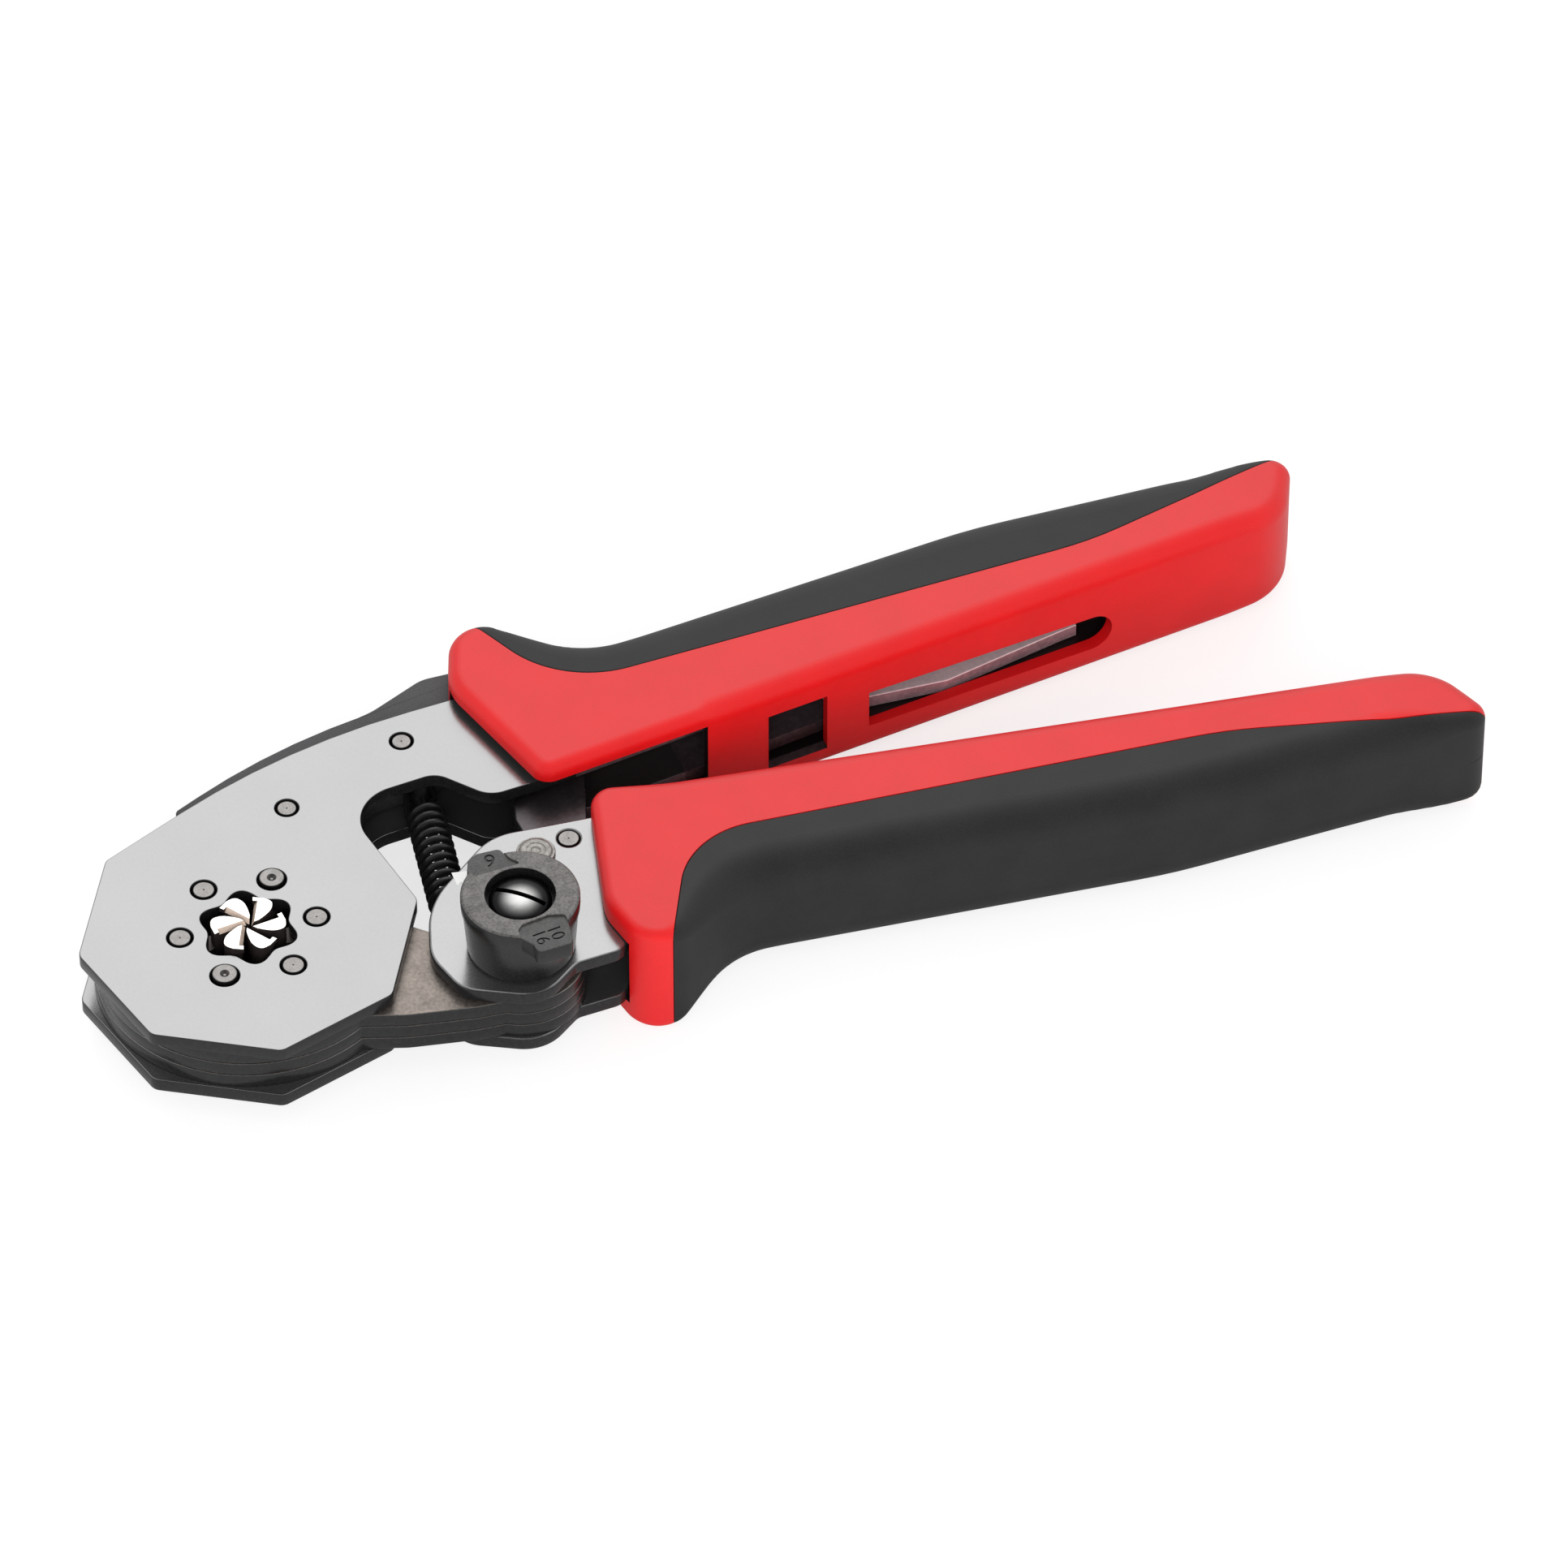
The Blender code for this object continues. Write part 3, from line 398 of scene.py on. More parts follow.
def worked(name, spots, edges, tree, values):
    """Plain mesh that a node tree makes of points and edges, with its named inputs set."""
    mesh = bpy.data.meshes.new(name)
    mesh.from_pydata(spots, edges, [])
    holder = add(name, mesh)
    step = holder.modifiers.new(name, "NODES")
    step.node_group = tree
    for item in tree.interface.items_tree:
        if item.in_out == "INPUT" and item.name in values:
            step[item.identifier] = values[item.name]
    return plain(holder)


rivets_on_points = node_tree(
    "rivets_on_points", {"Rivet": "Object"}, {"rivet": "ObjectInfo", "spread": "InstanceOnPoints"},
    [("source", "Rivet", "rivet", "Object"), ("source", "Geometry", "spread", "Points"),
     ("rivet", "Geometry", "spread", "Instance"), ("spread", "Instances", "real", "Geometry")])


def rivet_row(name, profile, centres, body, nodes):
    """One mesh of equal rivets at the given centres of the stack."""
    pattern = bpy.data.objects.new(name + "_pattern", turned(name + "_pattern", profile, steps=40))
    spots = [on_tool(x, y) for x, y in centres]
    mesh = worked(name, spots, [], rivets_on_points, {"Rivet": pattern, "Finish": pin_steel})
    bpy.data.objects.remove(pattern)
    return dress(name, smooth(mesh), [pin_steel], body, nodes)


def toned(finish, dark):
    """Let the mesh's own tone darken a finish: the ring and centre mark of a pin, the painted shade of
    the link, and all but the painted highlight of the screw.
    """
    tree = finish.node_tree
    shader = tree.nodes["Principled BSDF"]
    tone = add_node(tree, "Attribute", attribute_name="tone")
    ring = add_node(tree, "Mix", {7: (*dark, 1.0)}, data_type="RGBA")
    tree.links.new(shader.inputs["Base Color"].links[0].from_socket, ring.inputs[6])
    link(tone, "Fac", ring, 0)
    link(ring, 2, shader, "Base Color")
    return finish


pin_steel = toned(
    grained("ground_pin_steel", (0.245, 0.236, 0.228), 0.22, 0.85, 0.4, 4200.0, 0.25, patch=4.0),
    (0.012, 0.012, 0.013))


def flush_pin(radius, top):
    return [(0.0, -STACK_HALF), (radius - 0.15, -STACK_HALF), (radius, 0.15 - STACK_HALF, "ring"),
            (radius, top - 0.12, "ring"), (radius - 0.08, top - 0.02, "ring"),
            (radius - 0.14, top, "face"), (0.14, top, "face"), (0.1, top - 0.03, "dot"),
            (0.0, top - 0.06, "dot")]


key_top = STACK_HALF + 0.4
key_pin = flush_pin(KEY_PIN_RADIUS, key_top)[:3] + [
    (KEY_PIN_RADIUS, key_top - 0.1, "ring"), (KEY_PIN_RADIUS - 0.04, key_top - 0.03, "ring"),
    (KEY_PIN_RADIUS - 0.16, key_top, "face"), (0.66, key_top, "face"), (0.56, key_top - 0.06, "dot"),
    (0.2, key_top - 0.3, "dot"), (0.12, key_top - 0.3, "face"), (0.0, key_top - 0.28, "face")]
rivet_row("jaw_pins_plain", flush_pin(PIN_RADIUS, STACK_HALF), [pins[k] for k in (1, 2, 4, 5)],
          "frame", ["jaw_pin_2", "jaw_pin_3", "jaw_pin_5", "jaw_pin_6"])
rivet_row("jaw_pins_key", key_pin, [pins[0], pins[3]], "frame", ["jaw_pin_1", "jaw_pin_4"])
rivet_row("spine_rivets", flush_pin(SPINE_RIVET, STACK_HALF - 0.05), spine_rivets,
          "frame", ["spine_rivet_1", "spine_rivet_2"])

# Rotor: three hardened laminations riveted together, bare and faintly brown on their faces and black
# on their edges. The notches of the round opening drive the jaws, and the arm carries the lever.
LEVER_PIVOT = (32.0, -15.85)
ARM_BORE = 4.75
SPRING_FOOT = (26.8, -4.2)
SPRING_POST = 1.0
ROTOR_BORE = 12.5
ROTOR_RIVET = 1.2
BOSS_RADIUS = 8.4
RATCHET_RADIUS = 12.0
RATCHET_DEPTH = 0.7
RATCHET_TEETH = 6
TAIL_REACH = 4.0
TAIL_RADIUS = 1.2
brown_steel = grained("bare_brown_steel", (0.19, 0.164, 0.146), 0.38, 0.8, 0.36, 2200.0, 0.2, 0.1,
                      patch=6.0)
# Painted highlight: a light strip on the upper brow of the edges, where they catch the light.
painted_highlight_brow = grained("worn_bright_edge", (0.2,) * 3, 0.2, 0.9, 0.3, 2200.0, 0.1)
notch = TAIL_RADIUS + GAP - 0.05
notch_reach = PIN_CIRCLE + TAIL_REACH
spread = math.degrees(math.asin(notch / ROTOR_BORE))
opening = []
for angle in pin_angles:
    opening += arc(polar(notch_reach, angle), notch, angle - 90.0, angle + 90.0, 10.0)
    opening += arc((0.0, 0.0), ROTOR_BORE, angle + spread, angle + 60.0 - spread)
rotor_rivets = [polar((notch_reach + notch + ROTOR_RADIUS) / 2, a) for a in (20.6, 140.6, 260.6)]
rotor_holes = [opening, circle(LEVER_PIVOT, ARM_BORE)]
rotor_holes += [circle(p, ROTOR_RIVET + GAP) for p in rotor_rivets]
arm_low = rounded([polar(ROTOR_RADIUS, 296.0), (14.6, -20.4, 10.0), (23.6, -22.4, 12.0),
                   polar(BOSS_RADIUS, 236.0, LEVER_PIVOT)])
disc = arc((0.0, 0.0), ROTOR_RADIUS, -14.0, 296.0)
side_outline = disc + arm_low[1:-1] + arc(LEVER_PIVOT, BOSS_RADIUS, 236.0, 440.0)
side_outline += arc(SPRING_FOOT, SPRING_POST + GAP + 0.8, 10.0, 215.0, 10.0) + [(22.3, -7.4)]
half_tooth = 9.0 / RATCHET_TEETH
teeth = [polar(RATCHET_RADIUS - (0.0 if k % 2 else RATCHET_DEPTH), 40.0 + k * half_tooth, LEVER_PIVOT)
         for k in range(2 * RATCHET_TEETH + 1)]
middle_outline = disc + arm_low[1:-1] + arc(LEVER_PIVOT, BOSS_RADIUS, 236.0, 392.0) + teeth
middle_outline += arc(LEVER_PIVOT, RATCHET_RADIUS - 3.0, 62.0, 110.0) + [(22.6, -8.4)]
for k, node in ((-1, "rotor_rear"), (0, "rotor_middle"), (1, "rotor_front")):
    rims = [middle_outline if k == 0 else side_outline] + rotor_holes
    if k != 0:
        rims.append(circle(SPRING_FOOT, SPRING_POST + GAP))
    low = k * PITCH - SHEET / 2
    mesh = sheet(f"lamination_{k + 2}", rims, low, k * PITCH + SHEET / 2, EDGE_BREAK)
    # The upper brow of each lamination's edge takes the painted highlight.
    dress(f"lamination_{k + 2}", by_slope(mesh, brow=0.6), [brown_steel, black_edge, painted_highlight_brow],
          "rotor", [node])
for k in range(3):
    frame["nodes"][f"rotor_rivet_{k + 1}"].material_slots[0].material = brown_steel

# Jaws: six hardened, polished dies that swing on the jaw pins. Each flat closes one side of the nest,
# with a ground lead-in along its top edge and a small hook at its outer end.
JAW_OPEN = 2.2
JAW_BOSS = 2.8
FLAT_OFFSET = 2.248
TAIL_NECK = 0.9
JAW_TOP = STACK_HALF + 0.75
JAW_LIP = STACK_HALF + 0.05
LIP_STEP = 0.02
SIDE_PLAY = 0.15
polished = grained("polished_die_steel", (0.68, 0.652, 0.62), 0.06, 1.0, 0.16, 5000.0, 0.05, 0.04)
tempered = grained("tempered_tan_steel", (0.72, 0.57, 0.47), 0.1, 0.2, 0.45, 3000.0, 0.2)
dark_die = grained("dark_die_side", (0.05, 0.04, 0.038), 0.25, 0.6, 0.4, 2500.0, 0.2)
back_spots = [(4.72, 1.25), (4.4, 2.05), (3.95, 2.45), (3.3, 2.52), (2.6, 2.36), (2.0, 2.02),
              (1.35, 1.53), (0.75, 1.0)]


def flowing(spots, parts=4):
    """Smooth line through the given points."""
    line = [Vector(p) for p in spots[:1] + spots + spots[-1:]]
    flow = []
    for a, b, c, d in zip(line, line[1:], line[2:], line[3:]):
        for k in range(parts):
            s = k / parts
            flow.append(tuple(b + (c - a) * (s / 2) + (a * 2 - b * 5 + c * 4 - d) * (s * s / 2)
                              + (b * 3 - a - c * 3 + d) * (s ** 3 / 2)))
    return flow + [spots[-1]]


back_curve = flowing(back_spots)
waist_rim = [(0.2, 0.05), (3.95, 0.05), (4.3, 0.05), (4.6, 0.3)] + back_curve
foot_rim = [(0.2, 0.05), (4.1, 0.05), (4.1, -0.16), (4.8, -0.22)] + back_curve
top_rim = [(0.42, 0.42), (4.14, 0.5), (4.14, -0.12), (4.78, -0.18)]
top_rim += [(s, w - 0.04) for s, w in back_curve]


def loft(name, rows):
    """Closed solid through equal rows of points (x, y, z) in millimetres."""
    shape = bmesh.new()
    grid = [[shape.verts.new((x * MM, y * MM, z * MM)) for x, y, z in row] for row in rows]
    for lower, upper in zip(grid, grid[1:]):
        for i in range(len(lower)):
            n = (i + 1) % len(lower)
            shape.faces.new((lower[i], lower[n], upper[n], upper[i]))
    shape.faces.new(grid[0][::-1])
    shape.faces.new(grid[-1])
    return settled(shape, bpy.data.meshes.new(name))


def boolean(piece, operation, cutter_mesh):
    """Cut or join a mesh object with another mesh at once."""
    cutter = add("cutter", cutter_mesh)
    step = piece.modifiers.new("cut", "BOOLEAN")
    step.operation = operation
    step.solver = "EXACT"
    step.object = cutter
    step.material_mode = "TRANSFER"
    mesh = evaluated(piece)
    piece.modifiers.clear()
    piece.data = mesh
    bpy.data.objects.remove(cutter)
    return piece


neck = math.degrees(math.asin(TAIL_NECK / JAW_BOSS))
grip_side = math.degrees(math.asin(TAIL_NECK / TAIL_RADIUS))
shank_half = CORE_HALF - SIDE_PLAY
opened = Matrix.Rotation(math.radians(JAW_OPEN), 2)
for k in range(6):
    name = f"die_{k + 1}"
    out = pin_angles[k]
    pin = Vector(pins[k])
    flat = out + math.degrees(math.asin(FLAT_OFFSET / PIN_CIRCLE)) - JAW_OPEN

    def on_jaw(spots):
        """Spots of the drawing, given along and across the flat of this jaw."""
        flats = [Vector(polar(s, flat)) + Vector(polar(w, flat - 90.0)) for s, w in spots]
        return [tuple(pin + opened @ (spot - pin)) for spot in flats]

    top, foot, waist = on_jaw(top_rim), on_jaw(foot_rim), on_jaw(waist_rim)
    levels = ((top, -JAW_TOP), (foot, -JAW_LIP - LIP_STEP), (waist, -JAW_LIP),
              (waist, JAW_LIP), (foot, JAW_LIP + LIP_STEP), (top, JAW_TOP))
    mesh = at_head(loft(name, [[(*spot, z) for spot in rim] for rim, z in levels]))
    shank = arc(polar(TAIL_REACH, out, pins[k]), TAIL_RADIUS,
                out - 180.0 + grip_side, out + 180.0 - grip_side, 12.0)
    shank += arc(pins[k], JAW_BOSS, out + neck, out + 128.0, 12.0)
    shank += on_jaw([(4.25, 0.35), (2.4, 0.35), (2.4, 2.0), (3.75, 2.3)])
    shank += arc(pins[k], JAW_BOSS, out + 218.0, out + 360.0 - neck, 12.0)
    rims = [shank, circle(pins[k], pin_sizes[k] + GAP)]
    joined = boolean(add(name, mesh), "UNION", sheet(name + "_shank", rims, -shank_half, shank_half))
    mesh = smooth(plain(joined), 30.0)
    for face in mesh.polygons:
        level = abs(face.normal.z)
        high = abs(face.center.z - head.z) > (STACK_HALF - 0.1) * MM
        face.material_index = 0 if level > 0.97 and high else 1 if level > 0.2 and high else 2
    dress(name + "_polished", mesh, [polished, tempered, dark_die], f"jaw_{k + 1}",
          [f"jaw_{k + 1}"])

# Lever plates: the two steel sides of the moving handle. They clasp the rotor's arm at the lever pivot
# and run back into the cover; their round ends are polished by hand and catch the light.
LINK_PIVOT = (44.5, -0.2)
PAWL_POINT = (39.5, -0.5)
LEVER_RIVET = (72.5, -5.2)
LEVER_BORE = 3.8
LEVER_EDGE = 0.35
lever_satin = grained("lever_satin_steel", (0.295, 0.295, 0.297), 0.04, 0.9, 0.2, 2600.0, 0.05)
lever_edge = grained("lever_black_edge", (0.03, 0.03, 0.032), 0.25, 0.6, 0.26, 1800.0, 0.15)
lever_corners = [
    (35.0, 4.0, 8.0), (23.2, -4.6, 14.0), (20.2, -13.5, 7.0), (22.0, -20.6, 5.0), (31.5, -25.7, 6.0),
    (37.6, -21.7, 2.0), (44.0, -21.6, 3.0), (57.0, -7.4, 4.0), (80.0, -8.0, 1.0), (80.0, -3.4, 1.0),
    (49.0, 2.4, 3.0)]
lever_holes = [circle(LEVER_PIVOT, LEVER_BORE)]
lever_holes += [circle(p, SMALL_PIN + GAP) for p in (LINK_PIVOT, PAWL_POINT, LEVER_RIVET)]
for side, low in outer_sides:
    name = "lever_sheet_" + side
    mesh = sheet(name, [rounded(lever_corners)] + lever_holes, low, low + SHEET, LEVER_EDGE, 3)
    # The upper brow of each lever plate's edge takes the painted highlight.
    dress(name, by_slope(mesh, 0.98, brow=0.7), [lever_satin, lever_edge, painted_highlight_brow],
          "moving_handle", [f"lever_{side}_plate"])

# Lever pins: the link pin is ground flush in its black ring; the pawl pin ends in a stepped nickel
# head with a turned centre. The pointer beside the knob is printed in white.
STUD_SHIFT = 0.8
nickel = grained("turned_nickel", (0.19, 0.18, 0.17), 0.4, 0.95, 0.26, 2600.0, 0.15, patch=3.0)
rivet_row("link_pin_ground", flush_pin(SMALL_PIN + 0.22, STACK_HALF), [LINK_PIVOT],
          "moving_handle", ["link_pin"])
step = STACK_HALF + 0.03
stud = [(radius, step + rise) for radius, rise in (
    (0.0, 0.0), (2.5, 0.0), (2.58, 0.08), (2.58, 0.4), (2.5, 0.5), (2.2, 0.52), (2.12, 0.58),
    (2.1, 0.66), (2.0, 0.72), (1.3, 0.74), (1.2, 0.68), (0.7, 0.68), (0.6, 0.62), (0.0, 0.6))]
shank = [(0.0, -STACK_HALF), (SMALL_PIN, -STACK_HALF), (SMALL_PIN, step), (0.0, step)]
shape = bmesh.new()
for profile, centre in ((stud, (PAWL_POINT[0], PAWL_POINT[1] - STUD_SHIFT)), (shank, PAWL_POINT)):
    shape.from_mesh(turned("pawl_pin_part", profile, centre))
mesh = at_head(settled(shape, bpy.data.meshes.new("pawl_pin_nickel")))
dress("pawl_pin_nickel", smooth(mesh), [nickel], "moving_handle", ["pawl_pin"])
white_print = grained("white_print", (0.93, 0.94, 0.92), 0.02, 0.0, 0.5, 3000.0, 0.05)
pointer = [(28.0, -0.5), (30.2, -1.0), (29.6, -1.7), (30.3, -2.6), (29.3, -3.4), (28.55, -2.5),
           (27.9, -3.1)]
mesh = sheet("pointer_print", [pointer], STACK_HALF + 0.005, STACK_HALF + 0.025)
dress("pointer_print", mesh, [white_print], "moving_handle", [])

# Thrust link, pawl and the pins inside the handles: plain ground steel, mostly in the dark. The link
# pushes the fixed handle's pin; the pawl rides over the rotor's ratchet teeth.
PAWL_RIM = SMALL_PIN + GAP + 0.6
LINK_SHADE_FROM = 5.0
LINK_SHADE_OVER = 6.0
reach = Vector(THRUST_POINT) - Vector(LINK_PIVOT)
lean = math.degrees(math.atan2(reach.y, reach.x))
strut = arc(LINK_PIVOT, math.dist(LINK_PIVOT, PAWL_POINT) - PAWL_RIM - GAP, 140.0, lean + 270.0)
strut += arc(THRUST_POINT, 4.6, lean - 92.0, lean + 80.0) + [(40.6, 10.4), (39.9, 7.6)]
pawl_way = Matrix.Rotation(math.radians(-31.0), 2) @ (Vector(PAWL_POINT) - Vector(LINK_PIVOT))
strut += arc(tuple(Vector(LINK_PIVOT) + pawl_way), PAWL_RIM + GAP, 90.0, -8.0)
# Painted shade and painted reflection: the link is tinted mauve as if the red cover were reflected in
# it, and its tone darkens it towards the cover, which shades it.
painted_shade_link = toned(grained("dull_mauve_link", (0.105, 0.092, 0.097), 0.25, 0.6, 0.3, 1500.0, 0.2),
                  (0.004, 0.003, 0.004))
strut_holes = [circle(LINK_PIVOT, 1.9), circle(THRUST_POINT, 2.5)]
mesh = by_slope(sheet("thrust_strut", [strut] + strut_holes, -shank_half, shank_half, 0.25))
# Painted shade: the tone grows from nothing to full across the link, towards the cover.
link_shade = mesh.attributes.new("tone", "FLOAT", "POINT")
for spot, tone in zip(mesh.vertices, link_shade.data):
    tone.value = max(0.0, min(1.0, ((spot.co.y - head.y) / MM - LINK_SHADE_FROM) / LINK_SHADE_OVER))
dress("thrust_strut", mesh, [painted_shade_link, black_edge], "thrust_link", ["thrust_link"])
hidden = {"pawl": brown_steel, "spring_anchor": black_edge, "spring_post": black_edge,
          "thrust_pin": satin, "tail_rivet": satin, "lever_rivet": satin, "pivot_bolt": satin}
for node, finish in hidden.items():
    frame["nodes"][node].material_slots[0].material = finish

# Return spring: oiled black wire wound into a tension coil, hooked round a pin in the head and round
# the post on the rotor. In the tool it stretches as the handles open; here the coil is one mesh in its
# rest shape, set on no body.
SPRING_TOP = (30.7, 18.9)
SPRING_RADIUS = 2.22
SPRING_WIRE = 1.0
SPRING_TURNS = 11.5
HOOK_LENGTH = 2.9
CURL = 28
WIRE_SIDES = 14
spring_black = grained("oiled_spring_wire", (0.018, 0.018, 0.019), 0.3, 0.5, 0.24, 1500.0, 0.15)
hang, foot = Vector(SPRING_TOP), Vector(SPRING_FOOT)
down = (foot - hang).normalized()
side_way = Vector((-down.y, down.x))
coil_start = hang + down * HOOK_LENGTH
coil_length = (foot - hang).length - 2 * HOOK_LENGTH
hook = SPRING_POST + GAP + SPRING_WIRE / 2


def hooked(post, sideways, lengthways, angles):
    """Points of a wire hook bent round a post."""
    spots = []
    for a in angles:
        out, on = polar(hook, a)
        spot = post + sideways * out + lengthways * on
        spots.append((spot.x, spot.y, 0.0))
    return spots


wire = hooked(hang, side_way, -down, range(-60, 181, 12))
turns = int(CURL * SPRING_TURNS)
for i in range(turns + 1):
    angle = 2 * math.pi * SPRING_TURNS * i / turns + math.pi
    spot = coil_start + down * (coil_length * i / turns) + side_way * (SPRING_RADIUS * math.cos(angle))
    wire.append((spot.x, spot.y, SPRING_RADIUS * math.sin(angle)))
last = 1.0 if wire[-1][0] > (coil_start + down * coil_length).x else -1.0
wire += hooked(foot, side_way * last, down, range(0, 241, 12))
wire_on_path = node_tree(
    "wire_on_path", {"Wire Radius": "Float"},
    {"path": "MeshToCurve", "section": "CurvePrimitiveCircle", "sweep": "CurveToMesh"},
    [("source", "Geometry", "path", "Mesh"), ("source", "Wire Radius", "section", "Radius"),
     ("path", "Curve", "sweep", "Curve"), ("section", "Curve", "sweep", "Profile Curve"),
     ("sweep", "Mesh", "real", "Geometry")])
wire_on_path.nodes["section"].inputs["Resolution"].default_value = WIRE_SIDES
wire_on_path.nodes["sweep"].inputs["Fill Caps"].default_value = True
path = [head + Vector(p) * MM for p in wire]
mesh = worked("coil_spring", path, [(i, i + 1) for i in range(len(path) - 1)], wire_on_path,
              {"Wire Radius": SPRING_WIRE / 2 * MM, "Finish": spring_black})
mesh = smooth(mesh, 60.0)
mesh.materials.clear()
mesh.materials.append(spring_black)
spring = add("coil_spring", mesh)
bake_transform(spring)
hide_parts("return_spring")

# Selector knob: a dark zinc die casting with a sunken top and two tabs, each a sunken panel with
# numbers cast in. A domed, slotted screw of black steel holds it on the pivot bolt.
KNOB_RADIUS = 7.8
KNOB_FOOT = 7.1
KNOB_HEIGHT = 9.3
KNOB_RECESS = 4.6
KNOB_BORE = 3.8
TAB_HEIGHT = 2.7
PANEL_DEPTH = 0.28
FIGURE_DEPTH = 0.15
SCREW_RADIUS = 1.5
DOME_RISE = 1.4
SLOT_REACH = 3.5
SLOT_HALF = 0.36
die_cast = grained("dark_die_casting", (0.120, 0.114, 0.110), 0.5, 0.5, 0.46, 2800.0, 0.5, 0.1,
                   patch=4.0)
cast_panel = grained("dark_cast_panel", (0.062, 0.061, 0.060), 0.4, 0.4, 0.46, 2800.0, 0.4, 0.1,
                     patch=4.0)
# Painted shade: the sides and hollows of the casting are coloured near black, far darker than its top
# ring.
shaded_cast_side = grained("dark_casting_side", (0.009,) * 3, 0.4, 0.1, 0.26, 2200.0, 0.15)
ink = grained("dark_cast_figure", (0.006,) * 3, 0.2, 0.0, 0.5, 3000.0, 0.1)
# Painted highlight: the screw is light steel, and its tone darkens it to black away from a spot near
# the crown.
painted_highlight_screw = toned(grained("worn_screw_steel", (0.46, 0.455, 0.45), 0.12, 0.95, 0.3, 1500.0, 0.1),
                    (0.014,) * 3)
base = STACK_HALF + GAP
crown = base + KNOB_HEIGHT
floor_level = crown - 2.2
bolt_top = crown - 4.4
screw_hole = SCREW_RADIUS + GAP
cap = [
    (KNOB_BORE, base), (KNOB_FOOT - 0.3, base), (KNOB_FOOT - 0.08, base + 0.1), (KNOB_FOOT, base + 0.4),
    (KNOB_RADIUS - 0.3, crown - 3.4), (KNOB_RADIUS - 0.05, crown - 2.2), (KNOB_RADIUS, crown - 1.4),
    (KNOB_RADIUS, crown - 0.35), (KNOB_RADIUS - 0.07, crown - 0.17), (KNOB_RADIUS - 0.2, crown - 0.05),
    (KNOB_RADIUS - 0.36, crown), (KNOB_RECESS + 0.14, crown), (KNOB_RECESS + 0.04, crown - 0.04),
    (KNOB_RECESS, crown - 0.14), (KNOB_RECESS, floor_level), (screw_hole, floor_level),
    (screw_hole, bolt_top + GAP), (KNOB_BORE, bolt_top + GAP)]
knob = add("selector_knob", at_head(turned("selector_knob", cap, LEVER_PIVOT, 96, closed=True)))
tab_shapes = [
    [(-4.4, 5.05, 0.3), (-5.0, 6.4, 0.8), (-4.1, 8.4, 0.9), (-2.7, 9.0, 0.8), (0.4, 8.8, 0.8),
     (0.95, 6.5, 0.9), (2.1, 5.05, 0.3)],
    [(-1.7, -5.25, 0.5), (2.0, -4.85, 0.8), (4.1, -5.5, 0.5), (4.1, -7.0, 0.8), (3.5, -10.5, 0.8),
     (-1.4, -10.5, 0.8), (-1.5, -9.0, 0.8), (-2.7, -7.1, 0.6), (-2.5, -6.0, 0.4)]]


def by_pivot(x, y):
    return (LEVER_PIVOT[0] + x, LEVER_PIVOT[1] + y)


for corners in tab_shapes:
    spots = rounded([by_pivot(x, y) + (fillet,) for x, y, fillet in corners], 10.0)
    boolean(knob, "UNION", sheet("tab", [spots], crown - TAB_HEIGHT, crown - PANEL_DEPTH, 0.16))
    boolean(knob, "DIFFERENCE", sheet("panel", [spots], crown - PANEL_DEPTH, crown + 1.0))


def ease(value, start, end):
    share = max(0.0, min(1.0, (value - start) / (end - start)))
    return share * share * (3.0 - 2.0 * share)


def figure(text, size, spot, turn, low, high):
    """Solid number, centred on a spot of the drawing and turned to read outwards."""
    curve = bpy.data.curves.new("figure_" + text, "FONT")
    curve.body = text
    curve.size = size * MM
    curve.align_x = "CENTER"
    curve.align_y = "CENTER"
    curve.extrude = (high - low) / 2 * MM
    mesh = plain(add("figure_" + text, curve))
    place = Matrix.Translation(on_tool(*spot, (low + high) / 2))
    mesh.transform(place @ Matrix.Rotation(math.radians(turn), 4, "Z"))
    mesh.materials.append(ink)
    return mesh


knob.data.materials.append(die_cast)
figures = [("6", 3.2, (-1.5, 7.3), 165.0), ("10", 2.6, (1.9, -7.9), -85.0),
           ("16", 2.6, (-0.2, -8.0), -85.0)]
sunk = crown - PANEL_DEPTH - FIGURE_DEPTH
for text, size, spot, turn in figures:
    boolean(knob, "DIFFERENCE", figure(text, size, by_pivot(*spot), turn, sunk, crown + 0.4))
mesh = smooth(plain(knob), 32.0)
axis = head + Vector((*LEVER_PIVOT, 0.0)) * MM
for face in mesh.polygons:
    if mesh.materials[face.material_index] == ink:
        face.material_index = 2
        continue
    depth = (crown * MM + head.z - face.center.z) / MM
    ring = depth < 0.2 and (face.center - axis).to_2d().length > (KNOB_RECESS + 0.02) * MM
    panel = depth < PANEL_DEPTH + 0.08 and face.normal.z > 0.5
    # Faces other than the top ring and the panels take the painted shade of the sides.
    face.material_index = 0 if ring else 3 if panel else 1
dress("selector_knob", mesh, [die_cast, shaded_cast_side, ink, cast_panel], "selector", ["knob"])
dome_radius = KNOB_RECESS - 0.45
dome_foot = crown - 1.45
screw_end = floor_level - 4.2
dome_seat = floor_level + 0.15
dome = [(0.0, screw_end), (SCREW_RADIUS, screw_end), (SCREW_RADIUS, dome_seat),
        (dome_radius, dome_seat)]
dome += [(dome_radius * c, dome_foot + DOME_RISE * s) for c, s in arc((0.0, 0.0), 1.0, 0.0, 87.0, 3.0)]
dome.append((0.0, dome_foot + DOME_RISE))
screw = add("dome_screw", at_head(turned("dome_screw", dome, LEVER_PIVOT, 72)))
slot_way = Vector(polar(1.0, -43.0))
slot_over = Vector((-slot_way.y, slot_way.x))
slot = [tuple(Vector(LEVER_PIVOT) + slot_way * (s * SLOT_REACH) + slot_over * (w * SLOT_HALF))
        for s, w in ((-1, -1), (1, -1), (1, 1), (-1, 1))]
